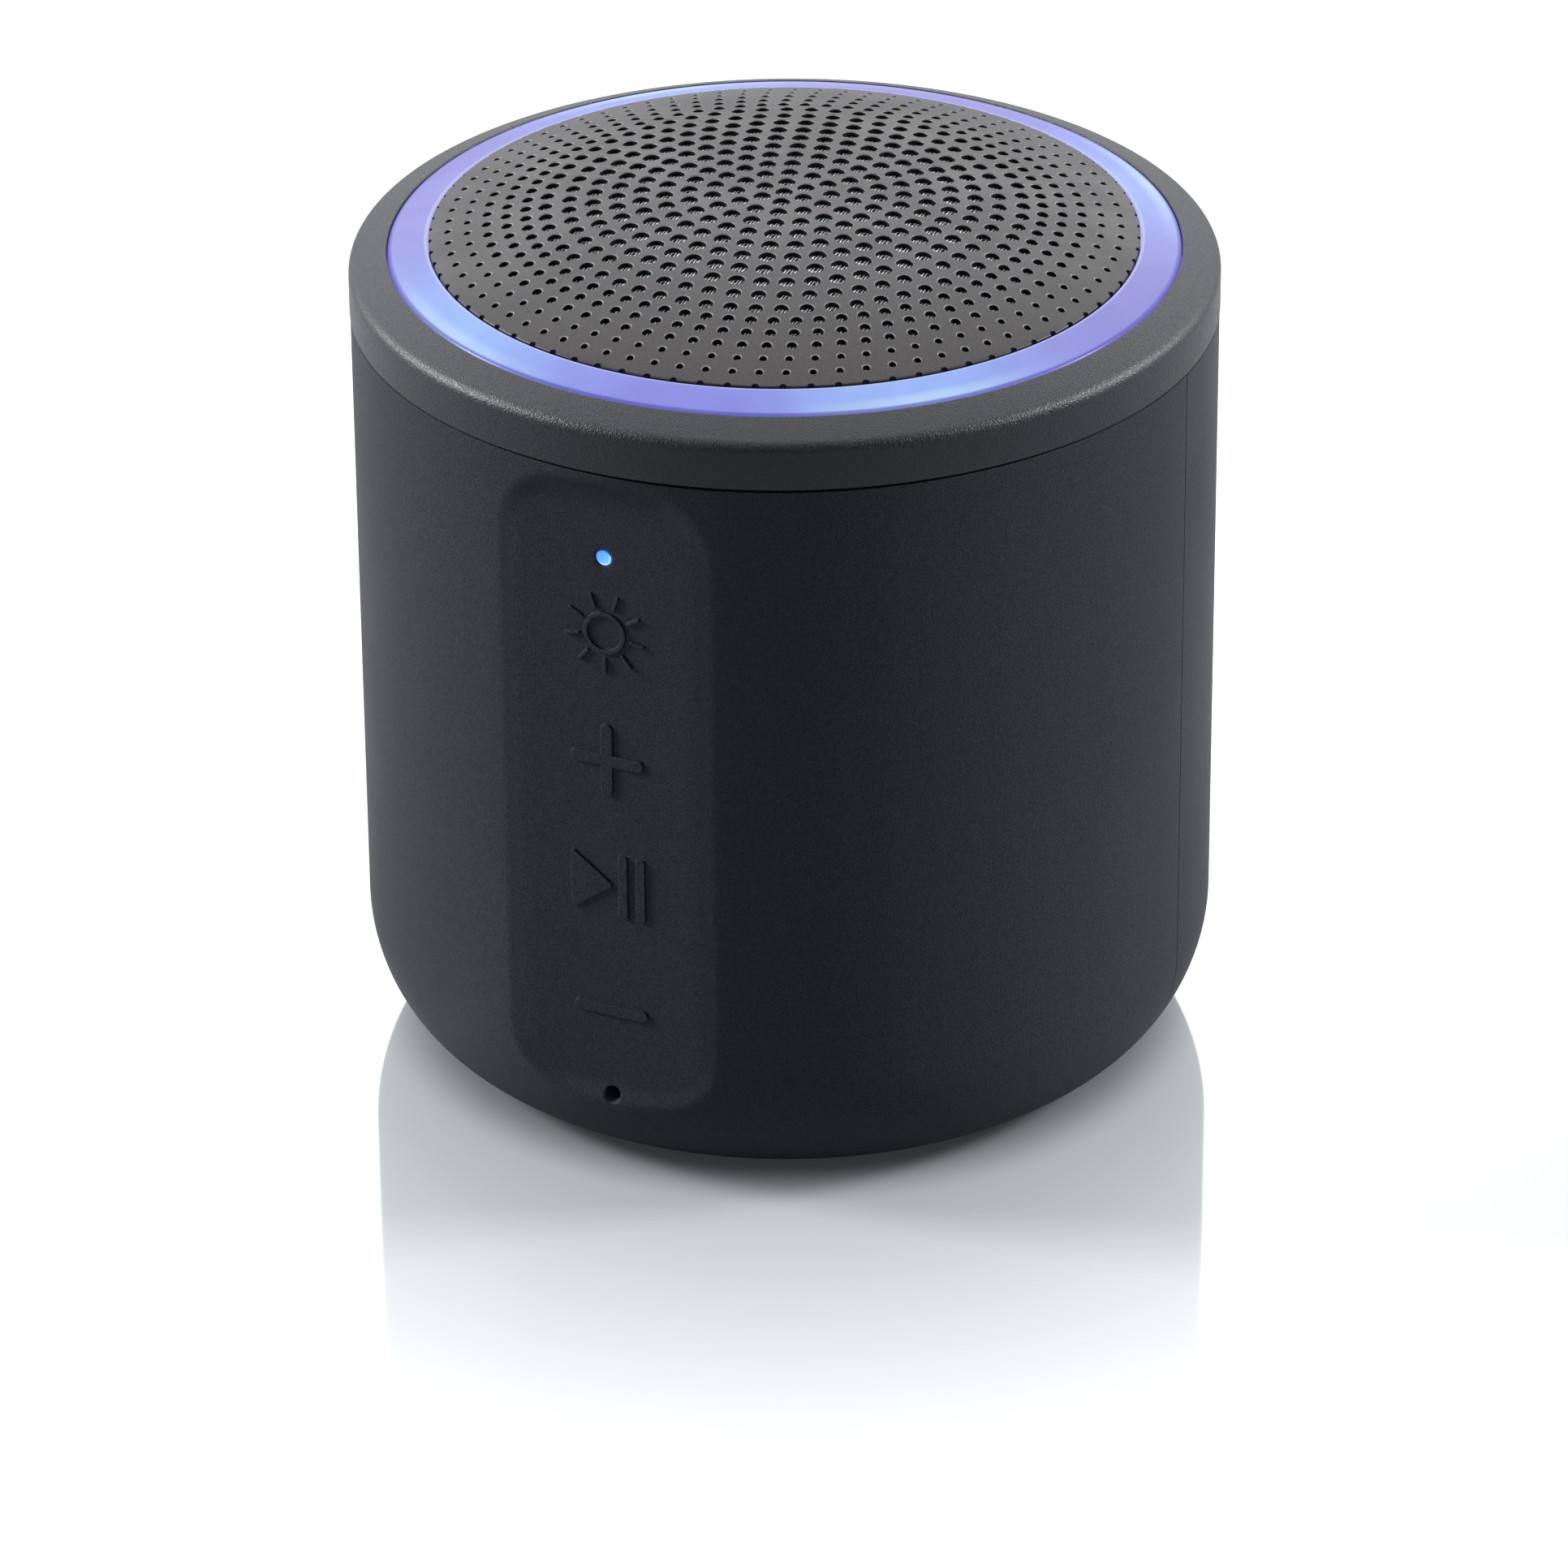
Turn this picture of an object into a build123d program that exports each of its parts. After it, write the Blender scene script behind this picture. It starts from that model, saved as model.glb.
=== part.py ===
from build123d import *
import math
import os

# Compact cylindrical Bluetooth loudspeaker with a lit ring round its grille.
# Millimetres, +Z up. The origin is the centre of the base, and the control panel faces -Y.

# ---- driving dimensions ----
BODY_R = 37.5  # outer radius of the shells
WALL = 2.0  # shell wall
SEAM_Z = 68.6  # top edge of the shells, where the bezel starts
FLOOR_GAP = 0.4  # the shells and the bottom cover stand this far above the table
FILLET_R = 9.9  # radial size of the rounded lower edge
FILLET_H = 12.2  # height of the rounded lower edge
PARTING = 0.03  # half of the gap between the two shells

PANEL_HALF = 9.3  # half width of the flat control panel
PANEL_LOW = 8.3
PANEL_HIGH = 67.7
PANEL_CORNER = 5.0
PANEL_Y = math.sqrt(BODY_R**2 - PANEL_HALF**2)  # distance of the panel plane from the axis
PANEL_BACK = PANEL_Y - WALL  # distance of the panel's inner face

KEY_HEIGHTS = {"light": 53.4, "plus": 41.3, "play_pause": 29.25, "minus": 16.95}
KEY_PROUD = 0.4  # how far a symbol stands out of the panel
KEY_GAP = 0.1  # clearance between a symbol and its hole
KEY_FLANGE_R = 4.5
KEY_FLANGE_T = 0.8
KEY_FLANGE_GAP = 0.15  # free space between the flange and the panel's inner face
PLUNGER_R = 0.9
LED_Z = 60.4
LED_R = 0.7
MIC_Z = 8.6
MIC_R = 0.75
MIC_BOOT_R = 3.1

BOARD_FRONT = PANEL_BACK - 2.9  # distance of the key board's front face from the axis
BOARD_T = 1.0
SWITCH_SIZE = 4.5
SWITCH_T = 0.9

REAR_HALF = 9.3  # half width of the flat recess round the sockets
REAR_LOW = 26.8
REAR_HIGH = 36.8
REAR_CORNER = 3.0
PORT_Z = 31.8  # height of both sockets' axes
USB_X = 3.7
USB_W = 8.94
USB_H = 3.2
AUX_X = -5.5
AUX_BORE_R = 1.8
AUX_NOSE_R = 2.6
AUX_DEPTH = 13.5
PORT_GAP = 0.22
NOSE_END = PANEL_Y - 0.3  # the sockets end this far inside the recess plane

GUIDE_OUT_R = 34.15  # light guide ring
GUIDE_IN_R = 30.7
GUIDE_OUT_Z = 74.05
GUIDE_IN_Z = 74.95
GUIDE_LOW_Z = 70.5
BEZEL_R = 37.56
BEZEL_IN_R = 34.22
BEZEL_EDGE_R = 1.45  # rounding of the bezel's upper edge
BEZEL_WALL_TOP = 71.83

GRILLE_R = 30.6
GRILLE_T = 0.45
GRILLE_SKIRT_T = 0.65
GRILLE_LOW_Z = 70.8
DOME = (0.2715, 0.103, 0.072)  # apex height and fall of the grille's dome, in body radii above the seam
CLOTH_T = 0.2

BAFFLE_R = 35.3
BAFFLE_LOW_Z = 66.0
BAFFLE_IN_R = 24.8
COLLAR_IN_R = 28.4
COLLAR_OUT_R = 29.9
COLLAR_TOP_Z = 73.4
LED_BOARD_T = 1.0

FLANGE_Z = SEAM_Z + 0.4  # underside of the driver's flange, on its gasket
FLANGE_R = 28.2
SHEET = 0.8  # basket sheet thickness
POLE_R = 7.6
FORMER_R = 8.0
COIL_R = 8.7
PLATE_HOLE_R = 9.2
PLATE_R = 18.5
MAGNET_R = 20.0
CONE_OUT_R = 20.8
CONE_SLOPE = 0.54
CONE_T = 0.5

BASE_OPEN_R = 28.0
COVER_R = 27.8
COVER_TOP_Z = 3.0
FOOT_R = 26.4
FOOT_T = 1.2
BASE_SCREW_R = 23.0  # radius of the base screws' circle
BAFFLE_SCREW_R = 32.0
DIAGONALS = (45, 135, 225, 315)

MAIN_BOARD_R = 33.0
MAIN_BOARD_Z = 30.2  # top face of the main board
MAIN_BOARD_T = 1.6
CELL_R = 9.2
CELL_LEN = 65.0
CELL_Z = 15.0
POST_X = 21.0
POST_Y = 11.2


# ---- helpers ----
def disc(radius, low, high, x=0.0, y=0.0):
    return Pos(x, y, low) * Cylinder(radius, high - low, align=(Align.CENTER, Align.CENTER, Align.MIN))


def ring(outer, inner, low, high):
    return disc(outer, low, high) - disc(inner, low - 1, high + 1)


def block(x, y, z):
    """A box from three (low, high) pairs."""
    size = (x[1] - x[0], y[1] - y[0], z[1] - z[0])
    return Pos(x[0], y[0], z[0]) * Box(*size, align=(Align.MIN, Align.MIN, Align.MIN))


def rod(radius, x, z, y_low, y_high):
    """A cylinder along Y."""
    turn = Rot(-90, 0, 0)
    return Pos(x, y_low, z) * turn * Cylinder(
        radius, y_high - y_low, align=(Align.CENTER, Align.CENTER, Align.MIN)
    )


def turned(*edges):
    """A solid of revolution about Z from edges drawn as (radius, height)."""
    return revolve(make_face(Plane.XZ * Wire(edges)), Axis.Z)


def turned_polygon(points):
    return revolve(make_face(Plane.XZ * Polyline(*points, close=True)), Axis.Z)


def around(angle, radius):
    turn = math.radians(angle)
    return radius * math.cos(turn), radius * math.sin(turn)


def screw(x, y, top, head_r, head_t, shank_r, bottom):
    """An upright screw whose head's underside is at top."""
    head = disc(head_r, top, top + head_t, x, y)
    slot = block((x - head_r, x + head_r), (y - 0.2, y + 0.2), (top + head_t * 0.55, top + head_t + 1))
    cross = Pos(x, y, 0) * Rot(0, 0, 90) * Pos(-x, -y, 0) * slot
    reach = disc(head_r * 0.6, top, top + head_t + 1, x, y)
    return head - (slot & reach) - (cross & reach) + disc(shank_r, bottom, top, x, y)


def save(name, *solids):
    shape = solids[0] if len(solids) == 1 else Compound(children=list(solids))
    export_step(shape, f"parts/{name}.step")


# ---- outer shells ----
def body_form(inset):
    """The body's solid form, drawn in from its outer surface by inset."""
    radius = BODY_R - inset
    centre = BODY_R - FILLET_R
    low = inset
    wide = FILLET_R - inset
    tall = FILLET_H - inset
    return turned(
        Line((0, low), (centre, low)),
        EllipticalCenterArc((centre, FILLET_H), wide, tall, start_angle=270, arc_size=90),
        Line((radius, FILLET_H), (radius, SEAM_Z)),
        Line((radius, SEAM_Z), (0, SEAM_Z)),
        Line((0, SEAM_Z), (0, low)),
    )


def recess(half_width, low, high, corner, plane_y, facing):
    """What the flat recess takes off the body, with sloping ends. facing is -1 for the front."""
    centre = (low + high) / 2
    plane = Plane((0, facing * plane_y, centre), x_dir=(-facing, 0, 0), z_dir=(0, facing, 0))
    face = plane * RectangleRounded(2 * half_width, high - low, corner)
    return extrude(face, 3.0, taper=-35)


def pad(half_width, low, high, outer):
    """The thicker wall behind a flat recess, on the -Y side."""
    return block((-half_width, half_width), (-BODY_R, -PANEL_BACK), (low, high)) & outer


def corner_boss(angle, radius, boss_r, low, high):
    """A screw boss tied to the shell wall by a rib."""
    x, y = around(angle, radius)
    rib = Rot(0, 0, angle) * block((radius, BODY_R - 0.8), (-1.2, 1.2), (low, high))
    return disc(boss_r, low, high, x, y) + rib


def hollow_body():
    outer = body_form(0)
    shell = outer - body_form(WALL)
    shell += pad(11, 6.0, BAFFLE_LOW_Z - 0.05, outer)
    shell += Rot(0, 0, 180) * pad(11, REAR_LOW - 2, REAR_HIGH + 2, outer)
    bosses = [corner_boss(a, BASE_SCREW_R, 2.6, COVER_TOP_Z, 10.0) for a in DIAGONALS]
    bosses += [corner_boss(a, BAFFLE_SCREW_R, 2.4, 56.0, BAFFLE_LOW_Z) for a in DIAGONALS]
    for boss in bosses:
        shell += boss & outer
    shell -= disc(BASE_OPEN_R, -1, COVER_TOP_Z)
    shell -= disc(BODY_R, -1, FLOOR_GAP)
    for angle in DIAGONALS:
        shell -= disc(1.0, COVER_TOP_Z - 1, 9.0, *around(angle, BASE_SCREW_R))
        shell -= disc(1.0, 58.0, BAFFLE_LOW_Z + 1, *around(angle, BAFFLE_SCREW_R))
    return shell


def front_shell(body):
    half = block((-BODY_R, BODY_R), (-BODY_R, -PARTING), (0, SEAM_Z))
    shell = (body & half) - recess(PANEL_HALF, PANEL_LOW, PANEL_HIGH, PANEL_CORNER, PANEL_Y, -1)
    for x, z in key_board_screw_places():
        shell += rod(1.7, x, z, -PANEL_BACK, -BOARD_FRONT)
        shell -= rod(0.8, x, z, -PANEL_BACK - 1.0, -BOARD_FRONT)
    for name, height in KEY_HEIGHTS.items():
        shell -= symbol_prism(name, height, KEY_GAP, 1.5, WALL + 1.5)
    shell -= rod(LED_R + 0.03, 0, LED_Z, -BODY_R, -PANEL_BACK)
    shell -= rod(MIC_R, 0, MIC_Z, -BODY_R, -PANEL_BACK)
    shell -= rod(MIC_BOOT_R + 0.05, 0, MIC_Z, -PANEL_BACK, -BOARD_FRONT)
    return shell


def rear_shell(body):
    half = block((-BODY_R, BODY_R), (PARTING, BODY_R), (0, SEAM_Z))
    shell = (body & half) - recess(REAR_HALF, REAR_LOW, REAR_HIGH, REAR_CORNER, PANEL_Y, 1)
    shell -= usb_form(PORT_GAP, PANEL_BACK - 2, BODY_R)
    shell -= rod(AUX_NOSE_R + PORT_GAP, AUX_X, PORT_Z, PANEL_BACK - 2, BODY_R)
    return shell


# ---- keys ----
def plus_symbol():
    bar = SlotOverall(6.8, 1.1)
    return bar + Rot(0, 0, 90) * bar


def minus_symbol():
    return SlotOverall(6.9, 1.05)


def play_pause_symbol():
    triangle = make_face(Polyline((-3.55, -3.0), (0.4, 0.0), (-3.55, 3.0), close=True))
    bars = [Pos(x, 0) * Rectangle(0.9, 6.0) for x in (1.3, 2.95)]
    return triangle + bars[0] + bars[1]


def sun_symbol():
    """A disc with nine rays, one of them pointing straight down."""
    shape = Circle(1.95)
    for k in range(9):
        shape += Rot(0, 0, 40 * k - 90) * Pos(3.08, 0) * Rectangle(1.35, 0.45)
    return shape


SYMBOLS = {
    "light": sun_symbol,
    "plus": plus_symbol,
    "play_pause": play_pause_symbol,
    "minus": minus_symbol,
}


def symbol_prism(name, height, grow, proud, deep):
    """The symbol as a prism through the panel, grown on all sides, from proud outside to deep inside."""
    outline = SYMBOLS[name]()
    if grow:
        outline = offset(outline, grow, kind=Kind.INTERSECTION)
    plane = Plane((0, -PANEL_Y - proud, height), x_dir=(1, 0, 0), z_dir=(0, 1, 0))
    mirrored = plane * mirror(outline, Plane.XZ)
    return extrude(mirrored, proud + deep)


def key_cap(name, height):
    flange_y = -PANEL_BACK + KEY_FLANGE_GAP
    cap = symbol_prism(name, height, 0, KEY_PROUD, WALL + KEY_FLANGE_GAP)
    cap += rod(KEY_FLANGE_R, 0, height, flange_y, flange_y + KEY_FLANGE_T)
    if name == "light":
        cap -= rod(1.45, 0, height, -PANEL_Y - 1, -PANEL_Y)
    return cap


def key_plunger(height):
    start = -PANEL_BACK + KEY_FLANGE_GAP + KEY_FLANGE_T
    return rod(PLUNGER_R, 0, height, start, -BOARD_FRONT - SWITCH_T + 0.25)


def key_switch(height):
    face = -BOARD_FRONT - SWITCH_T
    half = SWITCH_SIZE / 2
    case = block((-half, half), (face, -BOARD_FRONT), (height - half, height + half))
    return case - rod(PLUNGER_R + 0.1, 0, height, face - 1, face + 0.7)


def key_board_screw_places():
    return [(x, z) for x in (-5.6, 5.6) for z in (23.5, 47.7)]


def key_board():
    back = -BOARD_FRONT + BOARD_T
    board = block((-7.6, 7.6), (-BOARD_FRONT, back), (5.6, 64.6))
    for x, z in key_board_screw_places():
        board -= rod(0.95, x, z, -BOARD_FRONT - 1, back + 1)
    return board


def key_board_screws():
    back = -BOARD_FRONT + BOARD_T
    made = []
    for x, z in key_board_screw_places():
        screw_form = rod(1.5, x, z, back, back + 0.8) + rod(0.78, x, z, -PANEL_BACK - 0.6, back)
        made.append(screw_form - rod(0.7, x, z, back + 0.4, back + 1))
    return made


def led_light_pipe():
    pipe = rod(LED_R, 0, LED_Z, -PANEL_Y, -PANEL_BACK + 0.05)
    return pipe + rod(1.6, 0, LED_Z, -PANEL_BACK + 0.05, -PANEL_BACK + 0.9)


def status_led():
    face = -BOARD_FRONT
    return block((-0.8, 0.8), (face - 0.8, face), (LED_Z - 0.4, LED_Z + 0.4))


def mic_capsule():
    return rod(2.0, 0, MIC_Z, -BOARD_FRONT - 1.5, -BOARD_FRONT)


def mic_boot():
    boot = rod(MIC_BOOT_R, 0, MIC_Z, -PANEL_BACK + 0.02, -BOARD_FRONT - 0.02)
    boot -= rod(2.05, 0, MIC_Z, -BOARD_FRONT - 1.55, -BOARD_FRONT)
    return boot - rod(MIC_R, 0, MIC_Z, -PANEL_BACK - 1, -BOARD_FRONT)


# ---- base ----
def bottom_cover():
    cover = disc(COVER_R, FLOOR_GAP, COVER_TOP_Z) - disc(FOOT_R + 0.1, FLOOR_GAP - 1, FOOT_T)
    for angle in DIAGONALS:
        x, y = around(angle, BASE_SCREW_R)
        cover -= disc(1.3, 0, COVER_TOP_Z + 1, x, y)
        cover -= disc(2.2, 0, FOOT_T + 0.9, x, y)
    return cover


def foot_pad():
    """A rubber ring of tread with a shallow dish in the middle."""
    pad_form = disc(FOOT_R, 0, FOOT_T)
    return pad_form - disc(17.0, -1, 0.5)


def base_screws():
    made = []
    for angle in DIAGONALS:
        x, y = around(angle, BASE_SCREW_R)
        upside = screw(x, 0, -FOOT_T - 0.9, 2.0, 0.8, 0.98, -8.6)
        made.append(Pos(0, y, 0) * Rot(180, 0, 0) * upside)
    return made


# ---- top ring ----
def bezel():
    edge = BEZEL_R - BEZEL_EDGE_R
    slope = math.radians(20)
    arc_end = (
        edge + BEZEL_EDGE_R * math.sin(slope),
        BEZEL_WALL_TOP + BEZEL_EDGE_R * math.cos(slope),
    )
    middle = (
        edge + BEZEL_EDGE_R * math.sin(math.radians(55)),
        BEZEL_WALL_TOP + BEZEL_EDGE_R * math.cos(math.radians(55)),
    )
    return turned(
        Line((BEZEL_IN_R, SEAM_Z), (BEZEL_R, SEAM_Z)),
        Line((BEZEL_R, SEAM_Z), (BEZEL_R, BEZEL_WALL_TOP)),
        ThreePointArc((BEZEL_R, BEZEL_WALL_TOP), middle, arc_end),
        Line(arc_end, (BEZEL_IN_R, GUIDE_OUT_Z + 0.02)),
        Line((BEZEL_IN_R, GUIDE_OUT_Z + 0.02), (BEZEL_IN_R, SEAM_Z)),
    )


def light_guide_ring():
    return turned_polygon(
        [
            (GUIDE_IN_R, GUIDE_LOW_Z),
            (GUIDE_OUT_R, GUIDE_LOW_Z),
            (GUIDE_OUT_R, GUIDE_OUT_Z),
            (GUIDE_IN_R, GUIDE_IN_Z),
        ]
    )


def dome_height(radius):
    share = radius / BODY_R
    return SEAM_Z + BODY_R * (DOME[0] - DOME[1] * share**2 - DOME[2] * share**4)


def dome_cap(outer_r, drop, thickness):
    """A domed sheet whose top is drop below the grille's top face."""
    spots = [outer_r * k / 8 for k in range(9)]
    top = Spline(*[(r, dome_height(r) - drop) for r in spots], tangents=[(1, 0), (1, -0.42)])
    low = Pos(0, -thickness) * top
    return turned(
        top,
        Line(top @ 1, low @ 1),
        low,
        Line(low @ 0, top @ 0),
    )


def grille():
    sheet = dome_cap(GRILLE_R, 0, GRILLE_T)
    rim_z = dome_height(GRILLE_R)
    skirt = ring(GRILLE_R, GRILLE_R - GRILLE_SKIRT_T, GRILLE_LOW_Z, rim_z - GRILLE_T / 2)
    return sheet + skirt


def grille_cloth():
    return dome_cap(29.4, GRILLE_T, CLOTH_T)


def baffle():
    plate = ring(BAFFLE_R, BAFFLE_IN_R, BAFFLE_LOW_Z, SEAM_Z)
    plate += ring(COLLAR_OUT_R, COLLAR_IN_R, SEAM_Z, COLLAR_TOP_Z)
    plate -= block((30.4, 31.8), (-2.6, 2.6), (BAFFLE_LOW_Z - 1, SEAM_Z))
    for angle in DIAGONALS:
        x, y = around(angle, BAFFLE_SCREW_R)
        plate -= disc(1.2, BAFFLE_LOW_Z - 1, SEAM_Z, x, y)
        plate -= disc(1.95, SEAM_Z - 1.3, SEAM_Z, x, y)
        plate -= disc(0.7, BAFFLE_LOW_Z - 1, SEAM_Z, *around(angle + 45, 26.8))
    return plate


def baffle_screws():
    places = [around(a, BAFFLE_SCREW_R) for a in DIAGONALS]
    return [screw(x, y, SEAM_Z - 1.3, 1.8, 1.1, 0.98, 59.5) for x, y in places]


def led_ring_board():
    return ring(34.0, 30.05, SEAM_Z, SEAM_Z + LED_BOARD_T)


def ring_leds():
    top = SEAM_Z + LED_BOARD_T
    led = block((30.9, 33.9), (-1.4, 1.4), (top, top + 0.8))
    return [Rot(0, 0, angle) * led for angle in DIAGONALS]


def ring_ribbon():
    return block((30.9, 31.3), (-2.2, 2.2), (MAIN_BOARD_Z, SEAM_Z))


# ---- loudspeaker driver ----
def driver_gasket():
    gasket = ring(FLANGE_R, 25.0, SEAM_Z, FLANGE_Z)
    for angle in DIAGONALS:
        gasket -= disc(0.8, SEAM_Z - 1, FLANGE_Z + 1, *around(angle + 45, 26.8))
    return gasket


def driver_basket():
    top = FLANGE_Z + SHEET
    basket = turned_polygon(
        [
            (FLANGE_R, FLANGE_Z),
            (FLANGE_R, top),
            (24.0, top),
            (22.6, 62.2),
            (18.2, 57.9),
            (11.0, 57.9),
            (11.0, 57.1),
            (18.5, 57.1),
            (23.4, 61.9),
            (24.6, FLANGE_Z),
        ]
    )
    window = block((15, 30), (-9, 9), (62.6, 67.2))
    for angle in DIAGONALS:
        basket -= Rot(0, 0, angle) * window
        basket -= disc(0.8, FLANGE_Z - 1, top + 1, *around(angle + 45, 26.8))
    return basket


def driver_screws():
    places = [around(a + 45, 26.8) for a in DIAGONALS]
    return [screw(x, y, FLANGE_Z + SHEET, 1.1, 0.8, 0.68, 66.2) for x, y in places]


def surround():
    """The half-roll edge that lets the cone move."""
    low = FLANGE_Z + SHEET
    high = low + 0.4
    return turned(
        Line((19.4, low), (21.0, low)),
        ThreePointArc((21.0, low), (22.6, low + 1.5), (24.2, low)),
        Line((24.2, low), (25.6, low)),
        Line((25.6, low), (25.6, high)),
        Line((25.6, high), (24.6, high)),
        ThreePointArc((24.6, high), (22.6, high + 1.6), (20.6, high)),
        Line((20.6, high), (19.4, high)),
        Line((19.4, high), (19.4, low)),
    )


def cone_top(radius):
    return FLANGE_Z + SHEET - 0.02 + (radius - CONE_OUT_R) * CONE_SLOPE


def cone():
    inner = FORMER_R + 0.3
    return turned_polygon(
        [
            (inner, cone_top(inner)),
            (CONE_OUT_R, cone_top(CONE_OUT_R)),
            (CONE_OUT_R, cone_top(CONE_OUT_R) - CONE_T),
            (inner, cone_top(inner) - CONE_T),
        ]
    )


def cap_arc(radius, base, rise):
    """The arc of a spherical cap, from its rim to its top on the axis."""
    sphere = (radius**2 + rise**2) / (2 * rise)
    half = radius * 0.55
    middle = base + rise - sphere + math.sqrt(sphere**2 - half**2)
    return ThreePointArc((radius, base), (half, middle), (0, base + rise))


def dust_cap():
    """The domed cap over the coil former."""
    rim = cone_top(9.4) + 0.1
    outer = cap_arc(9.4, rim, 3.2)
    inner = cap_arc(8.9, rim, 2.8)
    return turned(
        Line(inner @ 0, outer @ 0),
        outer,
        Line(outer @ 1, inner @ 1),
        inner,
    )


def coil_former():
    return ring(FORMER_R + 0.3, FORMER_R, 51.9, cone_top(FORMER_R) - 0.1)


def voice_coil():
    return ring(COIL_R, FORMER_R + 0.3, 52.4, 56.8)


def spider():
    """The corrugated disc that centres the coil."""
    points_top = []
    points_low = []
    waves = 5
    inner = FORMER_R + 0.35
    outer = 21.6
    steps = 4 * waves
    for k in range(steps + 1):
        radius = inner + (outer - inner) * k / steps
        height = 61.5 + 0.35 * math.sin(2 * math.pi * waves * k / steps)
        points_top.append((radius, height + 0.15))
        points_low.append((radius, height - 0.15))
    return turned_polygon(points_top + points_low[::-1])


def top_plate():
    return ring(PLATE_R, PLATE_HOLE_R, 54.1, 57.1)


def magnet():
    return ring(MAGNET_R, 10.5, 47.1, 54.1)


def yoke():
    back = disc(PLATE_R, 44.1, 47.1) + disc(POLE_R, 47.1, 57.0)
    return back - disc(2.0, 44, 58)


def driver_terminals():
    plate = block((-25.0, -24.2), (-4.0, 4.0), (59.8, 65.4))
    tags = [block((-26.8, -25.0), (y - 0.9, y + 0.9), (61.0, 61.6)) for y in (-2.4, 2.4)]
    return [plate] + tags


def speaker_leads():
    """Two wires from the board connector up to the terminal tags."""
    made = []
    for y in (-2.4, 2.4):
        points = [(-27.6, y, 35.2), (-27.6, y, 42), (-26.1, y, 52), (-26.1, y, 60.98)]
        path = FilletPolyline(*points, radius=20)
        start = Plane(points[0], z_dir=(0, 0, 1))
        made.append(sweep(start * Circle(0.5), path=path))
    return made


# ---- power and electronics ----
def battery_cell():
    cell = Pos(0, 0, CELL_Z) * Rot(0, 90, 0) * Cylinder(CELL_R, CELL_LEN)
    return chamfer(cell.edges(), 0.6)


def battery_tabs():
    half = CELL_LEN / 2
    top = MAIN_BOARD_Z - MAIN_BOARD_T
    tab = block((half, half + 0.2), (-2.5, 2.5), (CELL_Z - 3, top))
    return [tab, Rot(0, 0, 180) * tab]


def cell_bore(radius):
    return Pos(0, 0, CELL_Z) * Rot(0, 90, 0) * Cylinder(radius, CELL_LEN + 10)


def chassis():
    """The cradle under the cell, with the posts that hold the main board."""
    cradle = block((-24, 24), (-12.8, 12.8), (COVER_TOP_Z, 16.0))
    cradle -= block((-17, 17), (-11, 11), (COVER_TOP_Z + 1.6, 17))
    for x in (-12, 12):
        cradle += block((x - 1, x + 1), (-12, 12), (COVER_TOP_Z, 12.0))
    board_low = MAIN_BOARD_Z - MAIN_BOARD_T
    for x in (-POST_X, POST_X):
        for y in (-POST_Y, POST_Y):
            cradle += disc(1.6, 15.0, board_low, x, y)
            cradle -= disc(0.8, 22.0, board_low + 1, x, y)
    return cradle - cell_bore(CELL_R + 0.1)


def battery_foam():
    foam = block((-14, 14), (-4.5, 4.5), (20.0, MAIN_BOARD_Z - MAIN_BOARD_T - 0.02))
    return foam - cell_bore(CELL_R + 0.02)


def main_board():
    low = MAIN_BOARD_Z - MAIN_BOARD_T
    board = disc(MAIN_BOARD_R, low, MAIN_BOARD_Z)
    board -= block((-40, 40), (-40, -BOARD_FRONT + BOARD_T + 1.4), (low - 1, MAIN_BOARD_Z + 1))
    board -= block((AUX_X - 3.4, AUX_X + 3.4), (21.2, 40), (low - 1, MAIN_BOARD_Z + 1))
    for x in (-POST_X, POST_X):
        for y in (-POST_Y, POST_Y):
            board -= disc(0.95, low - 1, MAIN_BOARD_Z + 1, x, y)
    return board


def board_screws():
    return [
        screw(x, y, MAIN_BOARD_Z, 1.5, 0.9, 0.78, 23.0)
        for x in (-POST_X, POST_X)
        for y in (-POST_Y, POST_Y)
    ]


def on_board(x, y, wide, deep, tall):
    half_w = wide / 2
    half_d = deep / 2
    top = MAIN_BOARD_Z
    return block((x - half_w, x + half_w), (y - half_d, y + half_d), (top, top + tall))


def bluetooth_module():
    carrier = on_board(-13, -19, 12, 15, 0.8)
    can = Pos(0, -1.5, 0.8) * on_board(-13, -19, 10.6, 10.4, 1.7)
    return carrier + fillet(can.edges().filter_by(Axis.Z), 0.5)


def board_chips():
    return [
        on_board(8, -6, 7, 7, 0.9),
        on_board(-4, -4, 6, 6, 0.9),
        on_board(4, 12, 5, 4, 1.4),
        on_board(-16, 3, 4, 5, 1.2),
    ]


def power_inductors():
    made = []
    for x, y in ((12, -18), (20, -3)):
        case = on_board(x, y, 6, 6, 3.0)
        made.append(fillet(case.edges().filter_by(Axis.Z), 1.2))
    return made


def capacitors():
    return [disc(3.15, MAIN_BOARD_Z, MAIN_BOARD_Z + 7.7, x, y) for x, y in ((4, -20), (12, 4))]


def lead_connector():
    """The plug housing that the speaker leads enter from above."""
    return on_board(-27.6, 0, 4.5, 8.0, 5.0)


def board_link():
    back = -BOARD_FRONT + BOARD_T
    return block((-6, 6), (back, back + 4.2), (MAIN_BOARD_Z, MAIN_BOARD_Z + 3.0))


# ---- sockets ----
def usb_form(grow, y_low, y_high):
    """The rounded outline of the charging socket, run along Y."""
    plane = Plane((USB_X, y_low, PORT_Z), x_dir=(1, 0, 0), z_dir=(0, 1, 0))
    wide = USB_W + 2 * grow
    tall = USB_H + 2 * grow
    return extrude(plane * SlotOverall(wide, tall), y_high - y_low)


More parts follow.
